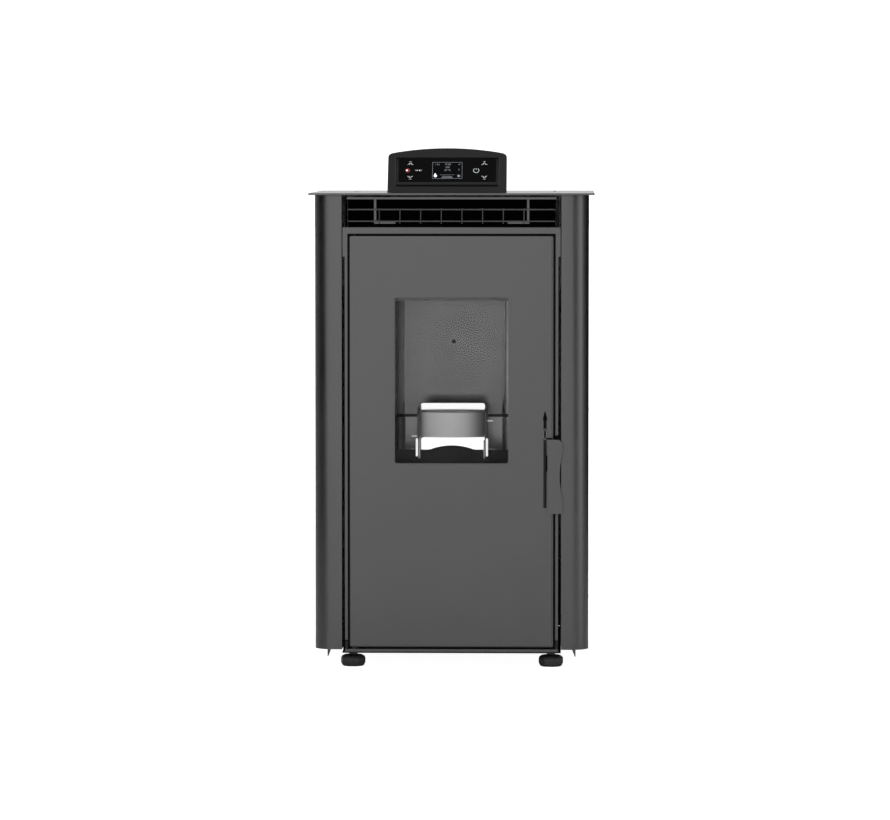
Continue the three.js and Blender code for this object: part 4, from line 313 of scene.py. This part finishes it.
MATERIALS = {
    "case_paint": surface("case_paint", grey(0.098), grey(0.104), 0.34, metallic=0.95, grain=1400.0,
                          bump=0.02, rough_spread=0.02),
    "dark_paint": surface("dark_paint", grey(0.010), grey(0.014), 0.5, grain=1200.0, bump=0.05,
                          specular=0.25),
    "painted_shade_black": surface("painted_shade_black", grey(0.0012), grey(0.002), 0.7, grain=1200.0, bump=0.05,
                          specular=0.05),
    "foot_plastic": surface("foot_plastic", grey(0.032), grey(0.044), 0.36, grain=1500.0, bump=0.06,
                            patch=60.0, specular=0.4),
    "zinc_sheet": surface("zinc_sheet", grey(0.34), grey(0.46), 0.38, metallic=0.9, patch=70.0,
                          grain=500.0, bump=0.03),
    "fire_iron": surface("fire_iron", grey(0.045), grey(0.065), 0.55, metallic=0.5, patch=25.0,
                         grain=1000.0, bump=0.1),
    "liner": make_liner(),
    "fire_front": make_fire_front(),
    "guard": surface("guard", grey(0.0052), grey(0.0072), 0.5, patch=25.0, grain=1100.0, bump=0.05,
                     specular=0.08),
    "ash": surface("ash", grey(0.55), grey(0.66), 0.9, patch=60.0, grain=1600.0, bump=0.15,
                   specular=0.1),
    "inner_frame": surface("inner_frame", grey(0.125), grey(0.14), 0.36, metallic=0.9, patch=30.0,
                           grain=900.0, bump=0.02),
    "pot_steel": surface("pot_steel", grey(0.98), grey(0.998), 0.06, metallic=0.97, patch=20.0,
                         grain=900.0, bump=0.002, rough_spread=0.01),
    "band": make_band(),
    "stainless": surface("stainless", grey(0.90), grey(0.95), 0.14, metallic=0.97, patch=20.0,
                         grain=900.0, bump=0.002, stretch=(0.06, 1, 1), rough_spread=0.01),
    "fire_glass": make_glass(),
    "rope": surface("rope", (0.30, 0.29, 0.26), (0.20, 0.195, 0.18), 0.95, patch=120.0,
                    grain=2600.0, bump=0.5),
    "black_plastic": surface("black_plastic", grey(0.0098), grey(0.0125), 0.5, grain=2600.0,
                             bump=0.08, specular=0.17),
    "rim_highlight": surface("rim_highlight", grey(0.028), grey(0.036), 0.45, grain=2600.0, bump=0.04),
    "gloss_black": surface("gloss_black", grey(0.0018), grey(0.0026), 0.12, grain=300.0, bump=0.004,
                           specular=0.03, rough_spread=0.02),
    "lcd_face": surface("lcd_face", (0.0012, 0.0014, 0.0018), (0.0017, 0.002, 0.0025), 0.2,
                        grain=300.0, bump=0.004, specular=0.03, rough_spread=0.02, patch=40.0),
    "board_green": surface("board_green", (0.012, 0.095, 0.035), (0.016, 0.12, 0.045), 0.45,
                           patch=90.0, grain=1500.0, bump=0.08),
    "screw": surface("screw", grey(0.30), grey(0.42), 0.32, metallic=1.0, patch=140.0, grain=1800.0,
                     bump=0.05),
    "dark_screw": surface("dark_screw", grey(0.03), grey(0.045), 0.42, metallic=0.6, patch=140.0,
                          grain=1800.0),
    "curl": surface("curl", grey(0.11), grey(0.14), 0.4, metallic=0.3, grain=1200.0, bump=0.02),
    "bend_shade": surface("bend_shade", grey(0.045), grey(0.055), 0.4, metallic=0.8, grain=1200.0, bump=0.02),
    # The key marks (symbol) and the rocker's mark (bright_symbol) are print given a glow: painted
    # light. On the display the same glow stands for its lit signs.
    "symbol": make_glow("symbol", (0.55, 0.58, 0.58), (0.40, 0.43, 0.44), 0.75, 500.0),
    "lcd_symbol": make_glow("lcd_symbol", (0.30, 0.32, 0.34), (0.16, 0.17, 0.19), 0.55, 700.0),
    "bright_symbol": make_glow("bright_symbol", (0.95, 0.96, 0.96), (0.8, 0.82, 0.83), 0.75, 300.0),
    "lamp_core": make_glow("lamp_core", (1.0, 0.55, 0.52), (1.0, 0.75, 0.72), 2.2, 400.0),
    "lamp_halo": make_glow("lamp_halo", (0.19, 0.004, 0.010), (0.07, 0.002, 0.004), 0.55, 700.0),
}

# Nodes that take another finish than their slot in the record.
NODE_FINISH = {
    "fireback_upper": "liner",
    "fireback_lower": "liner",
    "ash_guard": "guard",
    "pot_band": "band",
    "lcd_display": "lcd_face",
    "firebox": "fire_front",
    "burn_pot": "pot_steel",
    "door_inner_frame": "inner_frame",
    # Painted shade: the air duct is near black as the shade inside the outlet.
    "air_duct": "painted_shade_black",
}


def dress(obj, finish):
    obj.data.materials.clear()
    obj.data.materials.append(MATERIALS[finish])


def refine(obj, bevel, angle):
    """Joins split corners, rounds sharp edges a little and shades the facets of curves as one."""
    for polygon in obj.data.polygons:
        polygon.use_smooth = True
    weld = obj.modifiers.new("weld", "WELD")
    weld.merge_threshold = 2e-6
    if bevel:
        edge = obj.modifiers.new("bevel", "BEVEL")
        edge.width = bevel * MM
        edge.segments = 2
        edge.limit_method = "ANGLE"
        edge.angle_limit = math.radians(angle)
        edge.use_clamp_overlap = True
        edge.harden_normals = False
    split = obj.modifiers.new("split", "EDGE_SPLIT")
    split.split_angle = math.radians(angle)
    even = obj.modifiers.new("even", "WEIGHTED_NORMAL")
    even.weight = 100


# Widths of the small roundings, in millimetres.
BEVELS = {
    "console_housing": 0.9,
    "door_handle": 0.5,
    "foot_front_left": 0.5,
    "foot_front_right": 0.5,
    "foot_rear_left": 0.5,
    "foot_rear_right": 0.5,
    "ash_guard": 0.4,
    "pot_band": 0.4,
    "mains_inlet": 0.6,
    "power_switch": 0.5,
    "top_plate": 0.4,
    "front_frame": 0.25,
    "air_grille": 0.2,
    "hopper_lid": 0.4,
}

# Faces that take a second finish, by a rule on their middles in millimetres of the casing: painted
# shade on the deep faces of gaps, recesses and the handle's slot, and on the base tray save the
# front of its kick bar; ash on the guard's faces behind its front.
DEEP_FACES = {
    "front_frame": ("painted_shade_black", lambda x, y, z: y > 4.5),
    "side_panel_left": ("painted_shade_black", lambda x, y, z: abs(x) < 180.5 and y > 2.0),
    "side_panel_right": ("painted_shade_black", lambda x, y, z: abs(x) < 180.5 and y > 2.0),
    "door_panel": ("painted_shade_black", lambda x, y, z: (
        (abs(x - HANDLE_X) < 8 and y > 0.4 and 250 < z < 450) or (abs(x) > 163 and y > 1.2))),
    "ash_guard": ("ash", lambda x, y, z: y > 32.5),
    "base_tray": ("dark_paint", lambda x, y, z: not (26.8 < z < 31.2 and y < 6)),
}

SLOT_OF = {entry["node"]: entry["material_slot"] for entry in frame["record"]["subparts"]}


def dress_nodes():
    for name, obj in NODES.items():
        dress(obj, NODE_FINISH.get(name, SLOT_OF[name]))
        if name in DEEP_FACES:
            finish, rule = DEEP_FACES[name]
            obj.data.materials.append(MATERIALS[finish])
            for polygon in obj.data.polygons:
                x, y, z = polygon.center / MM
                if rule(x, y + MID_Y, z):
                    polygon.material_index = 1
        angle = FOOT_SPLIT_ANGLE if name.startswith("foot") else SPLIT_ANGLE
        refine(obj, BEVELS.get(name, 0.0), angle)


# ---------------------------------------------------------------- building pieces
def link_mesh(name, builder):
    """An object of its own from a builder's mesh."""
    mesh = bpy.data.meshes.new(name)
    builder.to_mesh(mesh)
    builder.free()
    obj = bpy.data.objects.new(name, mesh)
    bpy.context.scene.collection.objects.link(obj)
    return obj, mesh


def make_object(name, builder, finish, body, matrix):
    obj, mesh = link_mesh(name, builder)
    mesh.transform(matrix)
    dress(obj, finish)
    for polygon in mesh.polygons:
        polygon.use_smooth = True
    split = obj.modifiers.new("split", "EDGE_SPLIT")
    split.split_angle = math.radians(SPLIT_ANGLE)
    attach(obj, body)
    return obj


def extrude_outline(builder, points, low, high):
    """A prism over an outline in the first two coordinates, from low to high in the third."""
    bottom = [builder.verts.new((x, y, low)) for x, y in points]
    top = [builder.verts.new((x, y, high)) for x, y in points]
    builder.faces.new(reversed(bottom))
    builder.faces.new(top)
    count = len(points)
    for index in range(count):
        follow = (index + 1) % count
        builder.faces.new((bottom[index], bottom[follow], top[follow], top[index]))


def add_box(builder, low, high):
    points = [(low[0], low[1]), (high[0], low[1]), (high[0], high[1]), (low[0], high[1])]
    extrude_outline(builder, points, low[2], high[2])


def join_rings(builder, rings, closed=True):
    """Faces from each ring of points to the next, and from the last to the first if closed."""
    for ring, follow in zip(rings, rings[1:] + rings[:1] if closed else rings[1:]):
        count = len(ring)
        for i in range(count):
            n = (i + 1) % count
            builder.faces.new((ring[i], ring[n], follow[n], follow[i]))


def circle(centre, radius, start=0.0, end=2 * math.pi, steps=24, closed=True):
    count = steps if closed else steps + 1
    return [
        (
            centre[0] + radius * math.cos(start + (end - start) * i / steps),
            centre[1] + radius * math.sin(start + (end - start) * i / steps),
        )
        for i in range(count)
    ]


def ribbon(points, width):
    """The outline of a flat stroke along an open line of points."""
    left, right = [], []
    for index, point in enumerate(points):
        before = Vector(points[max(index - 1, 0)])
        after = Vector(points[min(index + 1, len(points) - 1)])
        along = (after - before).normalized()
        across = Vector((-along.y, along.x)) * width / 2
        left.append(tuple(Vector(point) + across))
        right.append(tuple(Vector(point) - across))
    return right + left[::-1]


def rounded(low, high, radius, steps=5):
    corners = [
        ((high[0] - radius, low[1] + radius), -math.pi / 2),
        ((high[0] - radius, high[1] - radius), 0.0),
        ((low[0] + radius, high[1] - radius), math.pi / 2),
        ((low[0] + radius, low[1] + radius), math.pi),
    ]
    points = []
    for centre, start in corners:
        points += circle(centre, radius, start, start + math.pi / 2, steps, closed=False)
    return points


# Placing: an outline drawn in X and Z stands up and is given its depth in Y.
STAND_UP = Matrix(((1, 0, 0, 0), (0, 0, -1, 0), (0, 1, 0, 0), (0, 0, 0, 1)))
SCALE_MM = Matrix.Diagonal((MM, MM, MM, 1))
SHIFT_Y = Matrix.Translation((0, -MID_Y * MM, 0))


def on_case(matrix=Matrix.Identity(4)):
    """Millimetres of the casing to the scene."""
    return SHIFT_Y @ SCALE_MM @ matrix


def plate(name, outline, depth, thickness, finish, body):
    """A flat piece drawn in X and Z, standing before a plane at the given depth."""
    builder = bmesh.new()
    extrude_outline(builder, outline, 0, thickness)
    return make_object(name, builder, finish, body,
                       on_case(Matrix.Translation((0, depth, 0)) @ STAND_UP))


def box_piece(name, boxes, finish, body):
    """Boxes between opposite corners in millimetres of the casing."""
    builder = bmesh.new()
    for low, high in boxes:
        add_box(builder, low, high)
    return make_object(name, builder, finish, body, on_case())


# ---------------------------------------------------------------- console
PANEL_TILT = math.radians(36)
PANEL_ORIGIN = (-7.2, -6.0, 772.3)
PANEL = on_case(Matrix.Translation(PANEL_ORIGIN) @ Matrix.Rotation(-PANEL_TILT, 4, "X") @ STAND_UP)
# In panel coordinates x runs across, y up the slope, and z out of the panel (depth is -z).
FILM = -0.6  # face of the film and the display
KEY_FACE = -0.4
INK = 0.06


def panel_piece(name, outlines, low, high, finish, body="stove"):
    builder = bmesh.new()
    for outline in outlines:
        extrude_outline(builder, outline, low, high)
    return make_object(name, builder, finish, body, PANEL)


def text_piece(name, words, centre, height, finish, low):
    curve = bpy.data.curves.new(name, "FONT")
    curve.body = words
    curve.align_x, curve.align_y = "CENTER", "CENTER"
    curve.size = height * 1.35
    curve.extrude = INK / 2
    curve.resolution_u = 2
    holder = bpy.data.objects.new(name + "_text", curve)
    bpy.context.scene.collection.objects.link(holder)
    bpy.context.view_layer.update()
    graph = bpy.context.evaluated_depsgraph_get()
    mesh = bpy.data.meshes.new_from_object(holder.evaluated_get(graph))
    bpy.data.objects.remove(holder)
    builder = bmesh.new()
    builder.from_mesh(mesh)
    bpy.data.meshes.remove(mesh)
    place = PANEL @ Matrix.Translation((centre[0], centre[1], low + INK / 2))
    return make_object(name, builder, finish, "stove", place)


def key_marks(key, centre, kind):
    """The symbol printed on a key."""
    x, y = centre
    body = key + "_cap"
    low, high = KEY_FACE, KEY_FACE + INK
    if kind in ("up", "down"):
        sign = 1 if kind == "up" else -1
        foot, tip = y - sign * 1.8, y + sign * 2.2
        chevron = ribbon([(x - 2.4, foot), (x, tip), (x + 2.4, foot)], 1.0)
        left = ribbon([(x - 4.7, y - sign * 2.6), (x - 2.9, y - sign * 0.4)], 0.4)
        right = ribbon([(x + 2.9, y - sign * 0.4), (x + 4.7, y - sign * 2.6)], 0.4)
        start, end = sign * math.radians(60), sign * math.radians(120)
        peak = ribbon(circle(centre, 4.4, start, end, 8, False), 0.35)
        marks = [chevron, left, right, peak]
    elif kind == "power":
        marks = [
            ribbon(circle(centre, 4.4, math.radians(125), math.radians(415), 24, False), 0.7),
            ribbon([(x, y + 1.2), (x, y + 4.6)], 0.7),
        ]
    else:
        marks = [
            circle((x - 1.9, y + 0.2), 1.1, steps=14),
            circle((x + 1.9, y + 0.2), 1.1, steps=14),
            ribbon([(x - 3.8, y + 1.9), (x - 5.2, y + 0.2), (x - 3.8, y - 1.5)], 0.4),
            ribbon([(x + 3.8, y + 1.9), (x + 5.2, y + 0.2), (x + 3.8, y - 1.5)], 0.4),
        ]
    panel_piece(key + "_symbol", marks, low, high, "symbol", body)


def dress_console():
    keys = {
        "key_heat_up": ((-60.0, 58.6), "up"),
        "key_set": ((-46.8, 45.0), "set"),
        "key_heat_down": ((-60.0, 31.8), "down"),
        "key_power": ((46.8, 45.0), "power"),
        "key_fan_up": ((60.0, 58.6), "up"),
        "key_fan_down": ((60.0, 31.8), "down"),
    }
    for key, (centre, kind) in keys.items():
        key_marks(key, centre, kind)
    # The display: a thin frame, rows of figures and small signs.
    left, right, bottom, top = -23.9, 23.9, 29.0, 61.4
    line = 0.35
    frame_lines = [
        ribbon([(left, bottom), (right, bottom)], line),
        ribbon([(left, top), (right, top)], line),
        ribbon([(left, bottom), (left, top)], line),
        ribbon([(right, bottom), (right, top)], line),
        ribbon([(left + 12, bottom + 7.6), (right - 12, bottom + 7.6)], line * 0.7),
    ]
    panel_piece("lcd_frame", frame_lines, FILM, FILM + INK, "lcd_symbol")
    text_piece("lcd_clock", "17:30", (0.6, 57.2), 3.2, "lcd_symbol", FILM)
    text_piece("lcd_day", "1 2 3", (-16.4, 57.0), 2.6, "lcd_symbol", FILM)
    text_piece("lcd_corner", "10", (19.0, 57.0), 2.6, "lcd_symbol", FILM)
    text_piece("lcd_target", "22.0", (0.2, 51.6), 3.0, "lcd_symbol", FILM)
    text_piece("lcd_room", "21°C", (0.4, 45.6), 3.6, "lcd_symbol", FILM)
    text_piece("lcd_level", "3", (18.8, 46.8), 3.2, "lcd_symbol", FILM)
    drop = circle((-19.3, 34.2), 2.5, math.radians(-215), math.radians(35), 16, False)
    drop += [(-18.0, 37.4), (-19.6, 40.2), (-20.9, 37.6)]
    panel_piece("lcd_flame", [drop], FILM, FILM + INK, "bright_symbol")
    star = []
    for index in range(12):
        radius = 3.3 if index % 2 == 0 else 1.4
        angle = index * math.pi / 6 + math.pi / 2
        star.append((18.6 + radius * math.cos(angle), 34.4 + radius * math.sin(angle)))
    panel_piece("lcd_fan", [star], FILM, FILM + INK, "lcd_symbol")
    screw = [ribbon([(-8.0 + 2.0 * i, 31.4), (-6.6 + 2.0 * i, 34.4)], 0.5) for i in range(8)]
    screw.append(ribbon([(-9.4, 31.0), (9.4, 31.0)], 0.45))
    panel_piece("lcd_feed", screw, FILM, FILM + INK, "lcd_symbol")
    halo = circle((-64.4, 45.2), 4.0, steps=28)
    panel_piece("lamp_halo", [halo], FILM, FILM + INK / 2, "lamp_halo")
    panel_piece("lamp", [circle((-65.4, 45.4), 1.25, steps=20)], FILM, FILM + INK, "lamp_core")
    # The ledge under the film.
    ledge = rounded((-82.4, 17.4), (82.4, 22.7), 1.6)
    panel_piece("console_ledge", [ledge], -2.35, -1.0, "black_plastic")
    # Painted highlights: thin lighter strips down both sides of the recess.
    rim_highlights = [ribbon([(side * 84.2, 14.5), (side * 84.2, 69.0)], 0.55) for side in (-1, 1)]
    panel_piece("console_rim_highlights", rim_highlights, -0.02, 0.08, "rim_highlight")
    # Painted shade: a near-black strip beneath the ledge.
    shade_strip = rounded((-82.6, 13.1), (82.6, 16.7), 1.5)
    panel_piece("console_shade_strip", [shade_strip], -2.38, -2.2, "gloss_black")


# ---------------------------------------------------------------- fire side
def dress_fire():
    """Bright tabs and clips on the guard, and the pins in the pot's cheeks."""
    for side, name in ((-1, "left"), (1, "right")):
        inner, outer = sorted((side * 55.3, side * 58.8))
        plate("guard_tab_" + name, rounded((inner, 343.5), (outer, 373.0), 1.6), GUARD_FACE, 1.7,
              "stainless", "stove")
        inner, outer = sorted((side * 51.3, side * 54.2))
        plate("guard_clip_" + name, rounded((inner, 340.0), (outer, 371.0), 1.3), GUARD_FACE, 1.7,
              "liner", "stove")
        level = 375.0 if side < 0 else 400.0
        builder = bmesh.new()
        extrude_outline(builder, circle((54.0, level), 1.15, steps=14), 0, 9.6)
        turn = Matrix(((0, 0, side, 56.7 * side), (1, 0, 0, 0), (0, 1, 0, 0), (0, 0, 0, 1)))
        pin = make_object("cheek_pin_" + name, builder, "stainless", "stove",
                          on_case(turn))
        if side < 0:
            pin.data.flip_normals()


def dress_guard_lips():
    """Bright upper edges of the guard beside the pot's cheeks."""
    for name, left, right in (("left", -66.8, -58.9), ("right", 60.4, 70.6)):
        box_piece("guard_lip_" + name, [((left, 30.9, 354.9), (right, 33.0, 355.9))],
                  "liner", "stove")


def dress_rope():
    """The door's sealing rope: three strands laid round a rounded rectangle."""
    lift = 20.3 + 3.7  # depth of the rope's middle: the frame's face and half the rope
    half, low, high, radius = 107.5, 318.5, 618.5, 9.0
    path = rounded((-half, low), (half, high), radius, 6)
    closed = path + [path[0]]
    points, total = [], 0.0
    for first, second in zip(closed, closed[1:]):
        length = math.dist(first, second)
        count = max(1, round(length / 2.2))
        for index in range(count):
            share = index / count
            points.append((
                first[0] + (second[0] - first[0]) * share,
                first[1] + (second[1] - first[1]) * share,
                total + length * share,
            ))
        total += length
    turns = round(total / 16.0)
    builder = bmesh.new()
    sides, strand, offset = 8, 1.95, 1.6
    for strand_index in range(3):
        rings = []
        for index, (x, z, along) in enumerate(points):
            before, after = points[index - 1], points[(index + 1) % len(points)]
            tangent = Vector((after[0] - before[0], 0, after[1] - before[1])).normalized()
            across = Vector((-tangent.z, 0, tangent.x))
            depth = Vector((0, 1, 0))
            angle = 2 * math.pi * (turns * along / total + strand_index / 3)
            around_middle = math.cos(angle) * across + math.sin(angle) * depth
            centre = Vector((x, lift, z)) + offset * around_middle
            rings.append([
                builder.verts.new(
                    centre + strand * (math.cos(2 * math.pi * k / sides) * across
                                       + math.sin(2 * math.pi * k / sides) * depth)
                )
                for k in range(sides)
            ])
        join_rings(builder, rings)
    bmesh.ops.recalc_face_normals(builder, faces=builder.faces)
    rope = make_object("sealing_rope", builder, "rope", "door", on_case())
    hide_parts("door_gasket")


# ---------------------------------------------------------------- handle
def ring_piece(builder, centre, outer, inner, low, high, steps=28):
    """A flat oval ring."""
    rings = []
    for radii, level in ((outer, low), (inner, low), (inner, high), (outer, high)):
        turns = [2 * math.pi * i / steps for i in range(steps)]
        rings.append([builder.verts.new((centre[0] + radii[0] * math.cos(turn),
                                         centre[1] + radii[1] * math.sin(turn), level))
                      for turn in turns])
    join_rings(builder, rings)
    bmesh.ops.recalc_face_normals(builder, faces=builder.faces)


def dress_handle():
    """The handle's curled end and sleeve, with dark pieces of painted shade along the handle's top
    edge, in the corner beside it and in the tip of its slot, and a dark line of painted shade along
    the bend at the door's edge.
    """
    builder = bmesh.new()
    ring_piece(builder, (HANDLE_X, 381.8), (3.1, 9.4), (1.75, 7.8), 0.0, 1.2)
    make_object("handle_curl", builder, "curl", "handle",
                on_case(Matrix.Translation((0, -3.4, 0)) @ STAND_UP))
    builder = bmesh.new()
    extrude_outline(builder, circle((HANDLE_X, 0.0), 2.35, steps=20), 391.2, 404.4)
    make_object("handle_sleeve", builder, "guard", "handle", on_case())
    # Painted shade along the handle's top edge and in the corner beside it.
    box_piece("handle_edge_shade", [((153.6, -3.2, 373.3), (163.4, -2.2, 375.6))],
              "painted_shade_black", "handle")
    plate("handle_corner_shade", rounded((166.4, 370.5), (177.2, 379.6), 2.2), -0.5, 1.2,
          "painted_shade_black", "handle")
    # Painted shade: a flat dark leaf in the tip of the handle's slot.
    cap = [(148.6, 403.8), (155.0, 403.8), (155.0, 408.0), (152.4, 418.6), (151.2, 418.6),
           (148.6, 408.0)]
    plate("slot_tip_shade", cap, 0.05, 0.25, "painted_shade_black", "door")
    # Painted shade: a thin dark strip for the bend near the door's edge.
    bend_shade = [((162.2, -0.06, low), (162.9, 0.4, high))
            for low, high in ((41.0, 250.0), (376.5, 696.0))]
    box_piece("door_edge_shade_line", bend_shade, "bend_shade", "door")


# ---------------------------------------------------------------- fasteners
def screw_head(builder, matrix, radius, height):
    """A domed head with a recess."""
    profile = [(radius, 0.0), (radius, height * 0.45), (radius * 0.86, height * 0.8),
               (radius * 0.55, height)]
    rings = [[builder.verts.new(matrix @ Vector((x, y, level)))
              for x, y in circle((0.0, 0.0), ring_radius, steps=20)]
             for ring_radius, level in profile]
    join_rings(builder, rings, closed=False)
    builder.faces.new(list(reversed(rings[0])))
    top = builder.faces.new(rings[-1])
    bmesh.ops.inset_individual(builder, faces=[top], thickness=radius * 0.2, depth=-height * 0.35)


FACING = {
    "back": Matrix(((1, 0, 0, 0), (0, 0, 1, 0), (0, -1, 0, 0), (0, 0, 0, 1))),
    "left": Matrix(((0, 0, -1, 0), (1, 0, 0, 0), (0, -1, 0, 0), (0, 0, 0, 1))),
    "right": Matrix(((0, 0, 1, 0), (1, 0, 0, 0), (0, 1, 0, 0), (0, 0, 0, 1))),
}


def screws(name, places, facing, finish="screw", radius=4.0):
    builder = bmesh.new()
    for place in places:
        screw_head(builder, Matrix.Translation(place) @ FACING[facing], radius, radius * 0.4)
    bmesh.ops.recalc_face_normals(builder, faces=builder.faces)
    make_object(name, builder, finish, "stove", on_case())


def dress_fasteners():
    edge = [(x, BACK, z) for x in (-213.0, 213.0) for z in (60.0, 235.0, 410.0, 585.0, 745.0)]
    edge += [(x, BACK, 752.0) for x in (-110.0, 0.0, 110.0)]
    edge += [(x, BACK, 40.0) for x in (-110.0, 0.0, 80.0)]
    screws("rear_panel_screws", edge, "back")
    flue = [(150 + 52 * math.cos(a), BACK, 110 + 52 * math.sin(a))
            for a in (math.pi / 4, 3 * math.pi / 4, 5 * math.pi / 4, 7 * math.pi / 4)]
    screws("flue_screws", flue, "back", radius=3.2)
    for sign, facing in ((-1, "left"), (1, "right")):
        screws("side_screws_" + facing, [(sign * 222.7, 400.0, z) for z in (80.0, 400.0, 720.0)],
               facing, "dark_screw")
    screws("inlet_screws", [(-165.5, 432.3, 93.5), (-134.5, 432.3, 93.5)], "back", radius=1.6)


def dress_rear():
    """Collars round the flue outlet and the air intake, and the inlet's pins and switch mark."""
    for name, centre, inner, outer in (("flue_collar", (150.0, 110.0), 40.4, 48.0),
                                       ("intake_collar", (0.0, 328.0), 24.4, 31.0)):
        builder = bmesh.new()
        edge, face = BACK + 1.0, BACK + 1.8
        profile = [(outer, BACK), (outer, edge), (outer - 0.8, face), (inner + 0.8, face),
                   (inner, edge), (inner, BACK)]
        rings = [[builder.verts.new((x, y, z)) for x, z in circle(centre, radius, steps=48)]
                 for radius, y in profile]
        join_rings(builder, rings)
        bmesh.ops.recalc_face_normals(builder, faces=builder.faces)
        make_object(name, builder, "zinc_sheet", "stove", on_case())
    pins = [((x - 1.0, 415.1, z - 2.4), (x + 1.0, 428.5, z + 2.4))
            for x, z in ((-157.0, 80.0), (-150.0, 85.0), (-143.0, 80.0))]
    box_piece("inlet_pins", pins, "screw", "stove")
    marks = bmesh.new()
    place = on_case(Matrix.Translation((-150, 428, 105)) @ Matrix.Rotation(math.radians(-8), 4, "X")
                    @ FACING["back"])
    extrude_outline(marks, ribbon([(0, 3.2), (0, 6.2)], 0.7), 4.45, 4.75)
    make_object("rocker_mark", marks, "bright_symbol", "rocker", place)


# ---------------------------------------------------------------- stage
FLOOR_HALF = 40.0  # metres
FLAG_DISTANCE = 2.6
# Cards round the stove: degrees of both ends from the front, height in metres and paleness.
FLAGS = (
    ("left_flag", -41, -84, 3.2, 0.01),
    ("left_side_flag", -84, -108, 3.2, 0.45),
    ("left_rear_flag", -108, -170, 3.2, 0.7),
    ("right_flag", 13, 43, 3.0, 0.42),
    ("right_side_flag", 77, 94, 3.0, 0.4),
    ("right_rear_flag", 94, 168, 3.0, 0.01),
)


def stage_sheet(name, corners):
    """A flat piece of the stage, with an empty material of its own to fill."""
    builder = bmesh.new()
    builder.faces.new([builder.verts.new(corner) for corner in corners])
    sheet, mesh = link_mesh(name, builder)
    material, tree = new_material(name)
    mesh.materials.append(material)
    return sheet, tree


def emitter(name, centre, aim, width, height, strength):
    """A large soft panel of light, unseen by the camera."""
    x, y = width / 2, height / 2
    panel, tree = stage_sheet(name, ((-x, -y, 0), (x, -y, 0), (x, y, 0), (-x, y, 0)))
    panel.location = centre
    panel.rotation_mode = "QUATERNION"
    panel.rotation_quaternion = (Vector(aim) - Vector(centre)).to_track_quat("Z", "Y")
    light = add_node(tree, "ShaderNodeEmission", Color=(1, 1, 1, 1), Strength=strength)
    dark = add_node(tree, "ShaderNodeEmission", Color=(0, 0, 0, 1), Strength=0.0)
    face = add_node(tree, "ShaderNodeNewGeometry")
    show(tree, mix_shaders(tree, face.outputs["Backfacing"], light.outputs["Emission"],
                           dark.outputs["Emission"]))
    panel.visible_camera = False
    panel.visible_shadow = False


def flag(name, ends, low, high, shade):
    """A card standing between two places: it makes the dark bands on rounded corners."""
    (x0, y0), (x1, y1) = ends
    card, tree = stage_sheet(name, ((x0, y0, low), (x1, y1, low), (x1, y1, high), (x0, y0, high)))
    shader = add_node(tree, "ShaderNodeBsdfDiffuse", Color=(shade, shade, shade, 1))
    show(tree, shader.outputs["BSDF"])
    card.visible_camera = False


def around(degrees):
    """A place on the floor round the stove, in degrees to the right of the front."""
    angle = math.radians(degrees)
    return FLAG_DISTANCE * math.sin(angle), -FLAG_DISTANCE * math.cos(angle)


def make_floor():
    size = FLOOR_HALF
    floor, tree = stage_sheet("floor", ((-size, -size, 0), (size, -size, 0), (size, size, 0),
                                        (-size, size, 0)))
    shader = add_node(tree, "ShaderNodeBsdfPrincipled", Roughness=0.9)
    shader.inputs["Specular IOR Level"].default_value = 0.0
    shader.inputs["Emission Color"].default_value = (1, 1, 1, 1)
    shader.inputs["Base Color"].default_value = (0.86, 0.86, 0.86, 1)
    path = add_node(tree, "ShaderNodeLightPath")
    glow = ramp(tree, path.outputs["Is Camera Ray"], 0.0, 0.97, 0.0, 1.0)
    tree.links.new(glow, shader.inputs["Emission Strength"])
    show(tree, shader.outputs["BSDF"])


def make_world():
    world = bpy.data.worlds.new("world")
    bpy.context.scene.world = world
    world.use_nodes = True
    tree = world.node_tree
    tree.nodes.clear()
    sky = add_node(tree, "ShaderNodeBackground", Color=(1, 1, 1, 1), Strength=1.3)
    show(tree, sky.outputs["Background"], "ShaderNodeOutputWorld")


def make_lights():
    emitter("front_panel", (-0.3, -9.4, 2.2), (-0.2, 0, 0.9), 4.6, 4.4, 1.6)
    emitter("pot_card", P(0, 45, 348), P(0, 245, 348), 0.106, 0.036, 1.5)
    emitter("right_strip", (2.3, -1.1, 1.0), (0, 0, 0.42), 0.5, 2.2, 2.1)
    for name, start, end, height, shade in FLAGS:
        flag(name, (around(start), around(end)), 0.0, height, shade)
    flag("high_flag", ((-1.1, -1.9), (1.1, -1.9)), 3.0, 4.4, 0.01)


make_camera()
dress_nodes()
dress_console()
dress_fire()
dress_guard_lips()
dress_rope()
dress_handle()
dress_fasteners()
dress_rear()
make_floor()
make_world()
make_lights()
